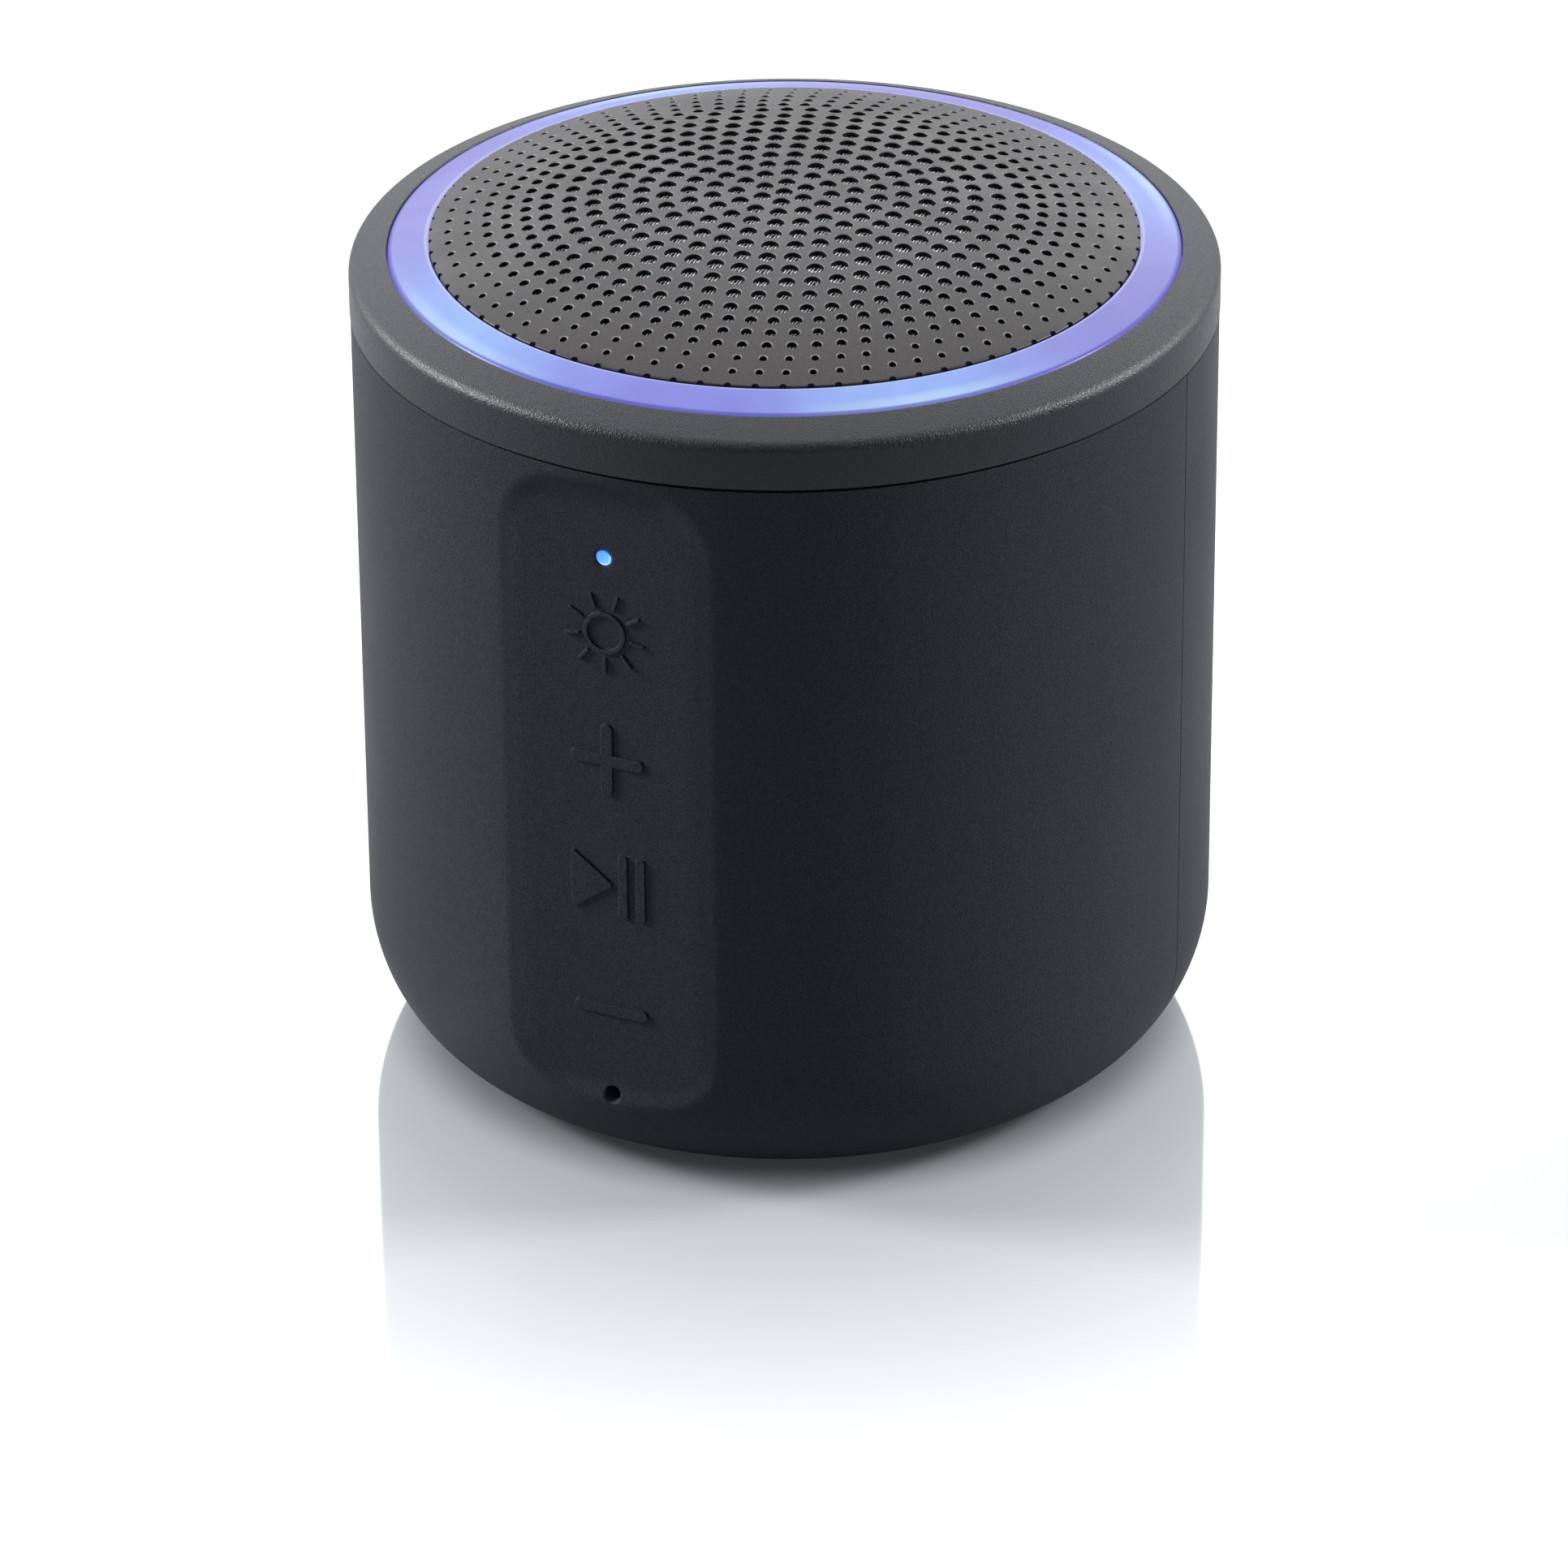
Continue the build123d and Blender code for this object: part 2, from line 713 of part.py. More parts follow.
def usb_jack():
    mouth = NOSE_END
    back = mouth - 7.6
    jack = usb_form(0, back, mouth) - usb_form(-0.3, back + 1.0, mouth + 1)
    tongue = block((USB_X - 3.35, USB_X + 3.35), (back, mouth - 1.2), (PORT_Z - 0.35, PORT_Z + 0.35))
    feet = block((USB_X - 4.0, USB_X + 4.0), (back, back + 4), (MAIN_BOARD_Z, PORT_Z - 0.9))
    return jack + tongue + (feet - usb_form(-0.1, back - 1, back + 5))


def aux_jack():
    face = PANEL_BACK - 0.1
    case = block((AUX_X - 3.2, AUX_X + 3.2), (21.4, face), (PORT_Z - 2.5, PORT_Z + 2.5))
    jack = case + rod(AUX_NOSE_R, AUX_X, PORT_Z, face, NOSE_END)
    return jack - rod(AUX_BORE_R, AUX_X, PORT_Z, NOSE_END - AUX_DEPTH, NOSE_END + 1)


def write_parts():
    os.makedirs("parts", exist_ok=True)
    body = hollow_body()
    save("front_shell", front_shell(body))
    save("rear_shell", rear_shell(body))
    for name, height in KEY_HEIGHTS.items():
        save(f"{name}_key", key_cap(name, height))
        save(f"{name}_plunger", key_plunger(height))
    save("key_switches", *[key_switch(height) for height in KEY_HEIGHTS.values()])
    singles = [bottom_cover, foot_pad, bezel, light_guide_ring, grille, grille_cloth, baffle]
    singles += [led_ring_board, ring_ribbon, led_light_pipe, status_led, mic_capsule, mic_boot]
    singles += [key_board, driver_gasket, driver_basket, surround, cone, dust_cap, coil_former]
    singles += [voice_coil, spider, top_plate, magnet, yoke, battery_cell, chassis, battery_foam]
    singles += [main_board, bluetooth_module, lead_connector, board_link, usb_jack, aux_jack]
    groups = [base_screws, baffle_screws, ring_leds, key_board_screws, driver_screws, board_screws]
    groups += [driver_terminals, speaker_leads, battery_tabs, board_chips, power_inductors, capacitors]
    for make in singles:
        save(make.__name__, make())
    for make in groups:
        save(make.__name__, *make())


write_parts()
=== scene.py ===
"""Looks of a compact cylindrical loudspeaker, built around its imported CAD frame.

Lengths in the shape code are millimetres, as in the CAD source, and every mesh is written in metres.
The control panel faces -Y and the base stands on z = 0.
"""

import math

import bmesh
import bpy
import numpy as np
from mathutils import Matrix, Vector
from mathutils.geometry import delaunay_2d_cdt


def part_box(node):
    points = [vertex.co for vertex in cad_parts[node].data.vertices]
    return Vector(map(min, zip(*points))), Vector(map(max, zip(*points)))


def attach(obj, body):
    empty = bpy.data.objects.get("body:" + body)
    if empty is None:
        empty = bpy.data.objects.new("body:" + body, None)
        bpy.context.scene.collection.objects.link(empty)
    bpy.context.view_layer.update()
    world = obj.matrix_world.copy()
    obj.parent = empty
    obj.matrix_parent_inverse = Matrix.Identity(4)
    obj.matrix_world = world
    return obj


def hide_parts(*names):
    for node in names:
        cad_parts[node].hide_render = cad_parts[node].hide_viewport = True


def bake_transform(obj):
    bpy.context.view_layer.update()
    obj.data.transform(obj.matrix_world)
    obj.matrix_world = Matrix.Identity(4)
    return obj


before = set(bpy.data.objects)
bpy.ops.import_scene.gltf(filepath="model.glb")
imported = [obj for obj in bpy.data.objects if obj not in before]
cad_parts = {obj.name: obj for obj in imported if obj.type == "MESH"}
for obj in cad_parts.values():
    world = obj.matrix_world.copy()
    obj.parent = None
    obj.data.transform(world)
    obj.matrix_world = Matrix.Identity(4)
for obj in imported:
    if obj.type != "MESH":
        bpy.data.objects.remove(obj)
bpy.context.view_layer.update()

MM = 0.001
FULL_TURN = 2 * math.pi


def box_mm(node):
    """Lowest and highest corner of a CAD node, in millimetres."""
    low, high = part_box(node)
    return low / MM, high / MM


def middle_mm(node):
    low, high = box_mm(node)
    return (low + high) / 2


# ---- sizes read from the frame ----
shell_low, shell_high = box_mm("front_shell")
BODY_R = shell_high.x
SEAM_Z = shell_high.z
FLOOR_GAP = shell_low.z
PARTING = -shell_high.y
BEZEL_R = box_mm("bezel")[1].x
GUIDE_OUT_R = box_mm("light_guide_ring")[1].x
GUIDE_IN_Z = box_mm("light_guide_ring")[1].z
GUIDE_LOW_Z = box_mm("light_guide_ring")[0].z
GRILLE_R = box_mm("grille")[1].x
GRILLE_LOW_Z = box_mm("grille")[0].z
CLOTH_R = box_mm("grille_cloth")[1].x
CLOTH_TOP_Z = box_mm("grille_cloth")[1].z
FOOT_R = box_mm("foot_pad")[1].x
FOOT_T = box_mm("foot_pad")[1].z
LED_Z = middle_mm("led_light_pipe").z
MIC_Z = middle_mm("mic_boot").z
USB = middle_mm("usb_jack")
AUX = middle_mm("aux_jack")
DOME_TOP_Z = box_mm("grille")[1].z

# ---- sizes shared with the CAD source ----
WALL = 2.0
FILLET_R = 9.9  # radial size of the rounded lower edge
FILLET_H = 12.2  # its height
BASE_OPEN_R = 28.0
KEY_PROUD = 0.4  # how far a key stands out of the panel
PANEL_Y = -box_mm("plus_key")[0].y - KEY_PROUD
LED_R = 0.7  # the status light's lit face
MIC_R = 0.75
USB_HALF = (4.47 + 0.22, 1.6 + 0.22)  # half width and half height of the socket's hole
AUX_HOLE_R = 2.82
GUIDE_IN_R = 30.7
GUIDE_OUT_Z = 74.05
BEZEL_IN_R = 34.22
GRILLE_T = 0.45
GRILLE_SKIRT_T = 0.65
DOME = (0.103, 0.072)  # fall of the dome with the square and the fourth power of its radius

# ---- sizes of the visual detail ----
AXIS_R = 0.02  # how near a turned outline comes to its axis
EDGE_ROLL = 0.05  # rounding of the shells' edges at their seams
# The flat recesses, up to where their ends start to rise.
PANEL = {"half": 9.3, "low": 8.3, "high": 66.9, "corner": 5.0}
REAR_PANEL = {"half": 9.3, "low": 27.6, "high": 36.0, "corner": 3.0}
RAMP_CURVE = 0.19  # how fast the ends of a flat recess rise to the round body
RAMP_REACH = 1.6  # how far inside its outline they start to rise
RAMP_WIDER = 1.2  # and how much wider than the recess their outline is
PANEL_SOFTNESS = 0.5
PATCH_R = 5.2  # radius of the flexible skin round a key's symbol
SYMBOL_PROUD = 0.21  # how far a symbol stands out of it
HOLE_BEVEL = 0.08
PIN_R = 0.8  # radius of the status light's pin
BEZEL_GAP = 0.25  # the dark line between the shells and the bezel
BEZEL_SHOULDER = (72.84, 1.1)  # height and rounding of the bezel's outer edge
RING_PITCH = 2.052  # between the grille's inner rings of holes
OUTER_RING_PITCH = 1.685  # and between its outer ones
INNER_RINGS = 10
FIRST_OUTER_COUNT = 73  # holes in the first of the outer rings
CENTRE_HOLE = 0.775
# Diameters of the holes, ring by ring.
HOLE_SIZES = [1.55] * 7 + [1.48, 1.34, 1.27, 1.06, 0.98, 0.9, 0.68, 0.66, 0.64]
RING_TURN = math.radians(25.2)  # where every ring of holes starts
RING_SHIFT = 0.38  # and how much of a hole's step each ring is further round
RIM_ROLL = 0.12  # rounding of the grille's outer edge
PLATE_R = 4.5  # the hard plate under a symbol
PLATE_T = 0.8
PLATE_GAP = 0.15  # between it and the skin
PIN_HEAD = (1.6, 0.85)  # radius and depth of the status pin's head behind the panel
SCREEN_T = 0.12
TREAD_HOLLOW = (16.6, 0.5)  # radius and depth of the hollow in the middle of the foot
GROOVES = 12
FIRST_GROOVE_R = 17.0
GROOVE_PITCH = 0.74
GROOVE_DEPTH = 0.3
ROLL_MIDDLE_R = 22.6  # the driver's surround: a half round between two flat lips
ROLL_UNDER = (1.6, 1.5)  # half width and height of its underside
ROLL_OVER = (2.0, 1.55)  # and of its top
LIP_IN_R = 19.4
LIP_OUT_R = 25.6
LIP_T = 0.4
ROLL_FLEX = (20.9, 24.3)  # radii between which the surround bends
SPIDER_IN_R = 8.35
SPIDER_WAVES = 5
SPIDER_WAVE = 0.35  # height of its waves
SPIDER_T = 0.3

KEYS = ("light", "plus", "play_pause", "minus")
KEY_Z = {key: middle_mm(f"{key}_key").z for key in KEYS}


# ---- mesh helpers ----
def link(name, mesh):
    piece = bpy.data.objects.new(name, mesh)
    bpy.context.scene.collection.objects.link(piece)
    return piece


def mesh_piece(name, points, faces, sharp_deg=50.0):
    """A smooth-shaded mesh object from points in millimetres, with its hard edges marked."""
    mesh = bpy.data.meshes.new(name)
    mesh.from_pydata((np.asarray(points, float) * MM).tolist(), [], [list(map(int, f)) for f in faces])
    form = bmesh.new()
    form.from_mesh(mesh)
    bmesh.ops.recalc_face_normals(form, faces=form.faces)
    limit = math.radians(sharp_deg)
    for face in form.faces:
        face.smooth = True
    for edge in form.edges:
        edge.smooth = edge.is_manifold and edge.calc_face_angle(0.0) < limit
    form.to_mesh(mesh)
    form.free()
    return link(name, mesh)


def place(piece, body, slot, *nodes):
    """Puts a finished piece on its body, names its slot and hides the CAD nodes that it stands for."""
    piece.data.materials.append(finish_of(slot))
    if nodes:
        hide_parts(*nodes)
    if body:
        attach(piece, body)
    return piece


def rounded_profile(corners, steps=5):
    """A closed outline of (radius, height) points, from corners of (radius, height, rounding)."""
    outline = []
    count = len(corners)
    for k, (r, z, rounding) in enumerate(corners):
        here = Vector((r, z))
        if rounding <= 0:
            outline.append(here)
            continue
        back = (Vector(corners[k - 1][:2]) - here).normalized()
        ahead = (Vector(corners[(k + 1) % count][:2]) - here).normalized()
        half = back.angle(ahead) / 2
        reach = rounding / math.tan(half)
        centre = here + (back + ahead).normalized() * rounding / math.sin(half)
        start = here + back * reach - centre
        end = here + ahead * reach - centre
        first = math.atan2(start.y, start.x)
        sweep = (math.atan2(end.y, end.x) - first + math.pi) % FULL_TURN - math.pi
        for step in range(steps + 1):
            turn = first + sweep * step / steps
            outline.append(centre + rounding * Vector((math.cos(turn), math.sin(turn))))
    return [(p.x, p.y) for p in outline]


def lathe(name, outline, segments, first=0.0, last=FULL_TURN):
    """A closed outline turned about Z, all the way round or from one angle to another."""
    whole = last - first > FULL_TURN - 1e-6
    turns = segments if whole else segments + 1
    size = len(outline)
    angles = [first + (last - first) * k / segments for k in range(turns)]
    points = [(r * math.cos(a), r * math.sin(a), z) for a in angles for r, z in outline]
    faces = []
    for k in range(segments):
        here = k * size
        after = ((k + 1) % turns) * size
        for j in range(size):
            nxt = (j + 1) % size
            faces.append((here + j, after + j, after + nxt, here + nxt))
    if not whole:
        faces.append(tuple(range(size)))
        faces.append(tuple(reversed(range((turns - 1) * size, turns * size))))
    return mesh_piece(name, points, faces)


def faced(piece, turn):
    """Turns a finished mesh's points by a matrix, and keeps the object at the origin."""
    piece.data.transform(turn)
    return piece


class Plan:
    """A flat plan of points and kept edges, triangulated into the surface of a piece."""

    def __init__(self):
        self.points = []
        self.edges = []

    def loop(self, points):
        start = len(self.points)
        count = len(points)
        self.points.extend(points)
        self.edges.extend((start + k, start + (k + 1) % count) for k in range(count))

    def chains(self, points, edges):
        start = len(self.points)
        self.points.extend(points)
        self.edges.extend((start + a, start + b) for a, b in edges)

    def triangles(self):
        flat = [Vector((float(u), float(v))) for u, v in self.points]
        found = delaunay_2d_cdt(flat, self.edges, [], 0, 1e-5)
        points = np.array([(p.x, p.y) for p in found[0]])
        return points, np.array([f for f in found[2] if len(f) == 3])


def boundary_edges(faces):
    """Directed edges that belong to one triangle only."""
    directed = np.concatenate([faces[:, [0, 1]], faces[:, [1, 2]], faces[:, [2, 0]]])
    keys = {tuple(e) for e in directed.tolist()}
    return [e for e in keys if (e[1], e[0]) not in keys]


def thick_piece(name, outer, inner, faces, sharp_deg=50.0):
    """A closed solid between two point lists that share one triangulation."""
    used = np.unique(faces)
    index = np.full(len(outer), -1)
    index[used] = np.arange(len(used))
    top = index[faces]
    count = len(used)
    rims = [(b, a, a + count, b + count) for a, b in boundary_edges(top)]
    points = np.concatenate([outer[used], inner[used]])
    return mesh_piece(name, points, top.tolist() + (top[:, ::-1] + count).tolist() + rims, sharp_deg)


def circle(x, z, radius, count):
    angles = np.arange(count) * FULL_TURN / count
    return np.stack([x + radius * np.cos(angles), z + radius * np.sin(angles)], 1)


# ---- signed distances of the symbols, negative inside ----
def rounded_box(x, z, half_x, half_z, corner):
    over_x = np.abs(x) - (half_x - corner)
    over_z = np.abs(z) - (half_z - corner)
    outside = np.hypot(np.maximum(over_x, 0), np.maximum(over_z, 0))
    return outside + np.minimum(np.maximum(over_x, over_z), 0) - corner


def rounded_polygon(x, z, corners, rounding):
    """A convex polygon, its corners given clockwise, grown by a rounding."""
    nearest = np.full(np.shape(x), 1e9)
    inside = np.full(np.shape(x), -1e9)
    for k, (ax, az) in enumerate(corners):
        bx, bz = corners[(k + 1) % len(corners)]
        edge = np.array([bx - ax, bz - az])
        length = np.hypot(*edge)
        along = np.clip(((x - ax) * edge[0] + (z - az) * edge[1]) / length**2, 0, 1)
        nearest = np.minimum(nearest, np.hypot(x - ax - along * edge[0], z - az - along * edge[1]))
        inside = np.maximum(inside, ((z - az) * edge[0] - (x - ax) * edge[1]) / length)
    return np.where(inside < 0, -nearest, nearest) - rounding


def plus_form(x, z):
    return np.minimum(rounded_box(x, z, 3.4, 0.55, 0.5), rounded_box(x, z, 0.55, 3.4, 0.5))


def minus_form(x, z):
    return rounded_box(x, z, 3.45, 0.525, 0.48)


def play_pause_form(x, z):
    inset = ((-3.3, 2.5), (0.05, 0.0), (-3.3, -2.5))
    triangle = rounded_polygon(x, z, inset, 0.25)
    bars = [rounded_box(x - middle, z, 0.45, 3.0, 0.2) for middle in (1.3, 2.95)]
    return np.minimum(triangle, np.minimum(*bars))


def sun_form(x, z):
    """A ring with nine rays, one of them pointing straight down."""
    form = np.abs(np.hypot(x, z) - 1.76) - 0.2
    for k in range(9):
        turn = math.radians(40 * k - 90)
        along = x * math.cos(turn) + z * math.sin(turn) - 3.08
        across = z * math.cos(turn) - x * math.sin(turn)
        form = np.minimum(form, rounded_box(along, across, 0.72, 0.16, 0.14))
    return form


SYMBOLS = {"light": sun_form, "plus": plus_form, "play_pause": play_pause_form, "minus": minus_form}

# A symbol's cross-section: distance from its outline, and the share of its full height there.
RELIEF = ((-0.09, 1.0), (-0.05, 0.97), (-0.015, 0.85), (0.0, 0.6), (0.03, 0.1), (0.07, 0.0))
RELIEF_LEVELS = (-0.14, -0.09, -0.05, -0.015, 0.0, 0.03, 0.07, 0.13)


def relief_height(distance):
    reach, share = zip(*RELIEF)
    return SYMBOL_PROUD * np.interp(distance, reach, share)


def contour(form, level, half=4.9, step=0.08):
    """Points and edges of the line where a signed distance equals level, by marching squares."""
    axis = np.arange(-half, half + step / 2, step)
    x, z = np.meshgrid(axis, axis, indexing="ij")
    value = form(x, z) - level
    value = np.where(np.abs(value) < 1e-4, 1e-4, value)
    points, edges, known = [], [], {}

    def crossing(a, b):
        key = (min(a, b), max(a, b))
        if key not in known:
            share = value[a] / (value[a] - value[b])
            known[key] = len(points)
            points.append((x[a] + (x[b] - x[a]) * share, z[a] + (z[b] - z[a]) * share))
        return known[key]

    inside = value < 0
    count = inside[:-1, :-1].astype(int) + inside[1:, :-1] + inside[1:, 1:] + inside[:-1, 1:]
    for i, j in np.argwhere((count > 0) & (count < 4)).tolist():
        corners = [(i, j), (i + 1, j), (i + 1, j + 1), (i, j + 1)]
        sides = [(corners[k], corners[(k + 1) % 4]) for k in range(4)]
        crossed = [crossing(a, b) for a, b in sides if inside[a] != inside[b]]
        edges.extend(zip(crossed[::2], crossed[1::2]))
    return points, edges


# ---- the shells' skin ----
def skin_profile(s):
    """(radius, height) of the body's outer surface: s is the height, and below the edge runs inwards."""
    z = np.maximum(s, FLOOR_GAP)
    drop = np.clip((FILLET_H - z) / FILLET_H, 0, 1)
    radius = BODY_R - FILLET_R + FILLET_R * np.sqrt(1 - drop**2)
    return radius - np.maximum(FLOOR_GAP - s, 0), z


def skin_normal(s):
    """The outward direction of that surface, as (radial, upward) parts."""
    radius, z = skin_profile(s)
    out = (radius - (BODY_R - FILLET_R)) / FILLET_R**2
    up = np.minimum(z - FILLET_H, 0) / FILLET_H**2
    out = np.where(s < FLOOR_GAP, 0, out)
    size = np.hypot(out, up)
    return out / size, up / size


def flat_share(x, z, panel):
    """Signed distance from a flat recess's outline on the body."""
    centre = (panel["low"] + panel["high"]) / 2
    half_z = (panel["high"] - panel["low"]) / 2
    return rounded_box(x, z - centre, panel["half"] + RAMP_WIDER, half_z, panel["corner"] + RAMP_WIDER)


def skin_radius(angle, s, panel):
    """Distance of the skin from the axis, with the flat recess blended softly into the round body."""
    radius, z = skin_profile(s)
    near = np.clip(angle, -0.7, 0.7)
    outside = flat_share(PANEL_Y * np.tan(near), z, panel)
    flat = PANEL_Y / np.cos(near) + RAMP_CURVE * np.maximum(outside + RAMP_REACH, 0) ** 2
    flat = np.where(np.abs(angle) > 0.6, 1e3, flat)
    merge = np.maximum(PANEL_SOFTNESS - np.abs(radius - flat), 0) / PANEL_SOFTNESS
    return np.minimum(radius, flat) - merge**2 * PANEL_SOFTNESS / 4


def rolled(near, size, steepness=0.98):
    """How far a rounded edge of a size falls back, where near runs from 0 to 1 at the edge itself."""
    near = np.clip(near, 0, 1)
    return size * (1 - np.sqrt(1 - near**2 * steepness))


def edge_roll(distance):
    """How far a skin edge is rounded in, at a distance from the seam."""
    return rolled(1 - distance / EDGE_ROLL, EDGE_ROLL)


def skin_grid():
    """The angles and heights of the skin's grid, finer round the flat panel and at the seams."""
    edge = math.pi / 2 - PARTING / BODY_R
    seam = np.array([0.0, 0.012, 0.03, 0.06, 0.1, 0.15, 0.4])
    fine = np.linspace(-0.31, 0.31, 101)
    coarse = np.linspace(0.31, edge - 0.6 / BODY_R, 48)[1:]
    side = np.concatenate([coarse, edge - seam[::-1] / BODY_R])
    angles = np.concatenate([-side[::-1], fine, side])
    inner = skin_profile(FLOOR_GAP)[0] - BASE_OPEN_R
    first = math.acos(1 - FLOOR_GAP / FILLET_H)
    fillet = FILLET_H * (1 - np.cos(np.linspace(first, math.pi / 2, 52)))
    heights = [FLOOR_GAP - np.array([inner, inner * 0.5]), fillet]
    heights += [np.arange(FILLET_H + 0.4, 16, 0.4), np.arange(16.2, 60, 1.1)]
    heights += [np.arange(60.2, SEAM_Z - 0.6, 0.25), SEAM_Z - seam[::-1]]
    return angles, np.concatenate(heights)


def skin_places(plan_points, panel):
    """Outer and inner points of the skin for points of its unrolled plan."""
    angle = plan_points[:, 0] / BODY_R
    s = plan_points[:, 1]
    radius, z = skin_profile(s)
    base = skin_radius(angle, s, panel)
    sides = (math.pi / 2 - PARTING / BODY_R - np.abs(angle)) * BODY_R
    rolled = base - edge_roll(sides) - edge_roll(SEAM_Z - s)
    out, up = skin_normal(s)
    around = np.stack([np.sin(angle), -np.cos(angle)], 1)
    outer = np.column_stack([around * rolled[:, None], z])
    inner_radius = base - WALL * out
    inner = np.column_stack([around * inner_radius[:, None], z - WALL * up])
    return outer, inner


def on_plan(points):
    """Points of the flat panel, as (x, height), on the unrolled plan."""
    points = np.asarray(points, float)
    return np.column_stack([np.arctan2(points[:, 0], PANEL_Y) * BODY_R, points[:, 1]])


def skin_plan(keep_clear):
    """The grid of the skin, without the points where a distance function says that details go."""
    plan = Plan()
    angles, heights = skin_grid()
    u, s = np.meshgrid(angles * BODY_R, heights, indexing="ij")
    u, s = u.ravel(), s.ravel()
    x = np.where(np.abs(u) < 0.6 * BODY_R, PANEL_Y * np.tan(np.clip(u / BODY_R, -0.6, 0.6)), 1e3)
    free = keep_clear(x, s) > 0.12
    plan.points.extend(zip(u[free], s[free]))
    return plan


def panel_x(plan_points):
    """The panel's x for points of the plan, and a far value off the panel."""
    near = np.clip(plan_points[:, 0] / BODY_R, -0.6, 0.6)
    return np.where(np.abs(near) < 0.59, PANEL_Y * np.tan(near), 1e3)


def front_skin():
    """The front shell with its flat control panel, and the patches of skin that carry the symbols."""
    holes = ((LED_Z, PIN_R + 0.02), (MIC_Z, MIC_R))

    def keep_clear(x, z):
        near = [np.hypot(x, z - height) - radius - HOLE_BEVEL for height, radius in holes]
        near += [np.hypot(x, z - KEY_Z[key]) - PATCH_R for key in KEYS]
        return np.minimum.reduce(near)

    plan = skin_plan(keep_clear)
    for height, radius in holes:
        for grow in (0.0, 0.03, HOLE_BEVEL):
            plan.loop(on_plan(circle(0, height, radius + grow, 40)))
    for key in KEYS:
        for radius in (PATCH_R, PATCH_R - 0.15):
            plan.loop(on_plan(circle(0, KEY_Z[key], radius, 96)))
        for level in RELIEF_LEVELS:
            points, edges = contour(SYMBOLS[key], level)
            if points:
                plan.chains(on_plan(np.array(points) + (0, KEY_Z[key])), edges)
    points, faces = plan.triangles()
    outer, inner = skin_places(points, PANEL)
    x = panel_x(points)
    z = points[:, 1]
    for height, radius in holes:
        inside = HOLE_BEVEL - (np.hypot(x, z - height) - radius)
        outer[:, 1] += rolled(inside / HOLE_BEVEL, HOLE_BEVEL)
    middle = points[faces].mean(1)
    middle_x = panel_x(middle)
    solid = np.ones(len(faces), bool)
    for height, radius in holes:
        solid &= np.hypot(middle_x, middle[:, 1] - height) > radius
    for key in KEYS:
        on_patch = np.hypot(middle_x, middle[:, 1] - KEY_Z[key]) < PATCH_R
        key_patch(key, x, z, outer, faces[on_patch])
        solid &= ~on_patch
    return thick_piece("front_skin", outer, inner, faces[solid])


def key_patch(key, x, z, outer, faces):
    """The patch of skin with one key's raised symbol, and the hard plate under it."""
    raised = outer.copy()
    raised[:, 1] -= relief_height(SYMBOLS[key](x, z - KEY_Z[key]))
    back = outer.copy()
    back[:, 1] = WALL - PANEL_Y
    patch = thick_piece(f"{key}_symbol", raised, back, faces, sharp_deg=60)
    place(patch, None, "key_rubber", f"{key}_key")
    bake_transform(patch)
    corners = [(AXIS_R, 0, 0), (PLATE_R, 0, 0.2), (PLATE_R, PLATE_T, 0.2), (AXIS_R, PLATE_T, 0)]
    plate = lathe(f"{key}_plate", rounded_profile(corners), 64)
    turn = Matrix.Rotation(-math.pi / 2, 4, "X")
    at = Matrix.Translation(Vector((0, (WALL + PLATE_GAP - PANEL_Y) * MM, KEY_Z[key] * MM)))
    place(faced(plate, at @ turn), f"{key}_button", "key_rubber", f"{key}_key")


def rear_skin():
    """The rear shell with the shallow recess round its two sockets."""
    usb_x = -USB.x
    aux_x = -AUX.x
    port_z = USB.z

    def sockets(x, z):
        slot_form = rounded_box(x - usb_x, z - port_z, *USB_HALF, USB_HALF[1] - 0.01)
        return np.minimum(slot_form, np.hypot(x - aux_x, z - port_z) - AUX_HOLE_R)

    plan = skin_plan(lambda x, z: sockets(x, z) - HOLE_BEVEL)
    for grow in (0.0, 0.03, HOLE_BEVEL):
        plan.loop(on_plan(circle(aux_x, port_z, AUX_HOLE_R + grow, 72)))
        half_x = USB_HALF[0] - USB_HALF[1]
        ends = circle(0, 0, USB_HALF[1] + grow, 48)
        ends[:, 0] += np.where(ends[:, 0] > 0, half_x, -half_x)
        plan.loop(on_plan(ends + (usb_x, port_z)))
    points, faces = plan.triangles()
    outer, inner = skin_places(points, REAR_PANEL)
    x = panel_x(points)
    inside = HOLE_BEVEL - sockets(x, points[:, 1])
    outer[:, 1] += rolled(inside / HOLE_BEVEL, HOLE_BEVEL)
    middle = points[faces].mean(1)
    solid = sockets(panel_x(middle), middle[:, 1]) > -0.002
    skin = thick_piece("rear_skin", outer, inner, faces[solid])
    return faced(skin, Matrix.Rotation(math.pi, 4, "Z"))


# ---- top ----
def bezel_ring():
    top_in = GUIDE_OUT_Z + 0.05
    low = SEAM_Z + BEZEL_GAP
    corners = [
        (BEZEL_IN_R, low, 0.1),
        (BEZEL_R, low, 0.04),
        (BEZEL_R, *BEZEL_SHOULDER),
        (BEZEL_IN_R, top_in, 0.12),
    ]
    return lathe("bezel_ring", rounded_profile(corners, 8), 360)


def glow_ring():
    corners = [
        (GUIDE_IN_R, GUIDE_LOW_Z, 0.1),
        (GUIDE_OUT_R, GUIDE_LOW_Z, 0.1),
        (GUIDE_OUT_R, GUIDE_OUT_Z, 0.35),
        (GUIDE_IN_R, GUIDE_IN_Z, 0.18),
    ]
    return lathe("glow_ring", rounded_profile(corners, 7), 360)


def dome_z(radius):
    share = radius / BODY_R
    return DOME_TOP_Z - BODY_R * (DOME[0] * share**2 + DOME[1] * share**4)


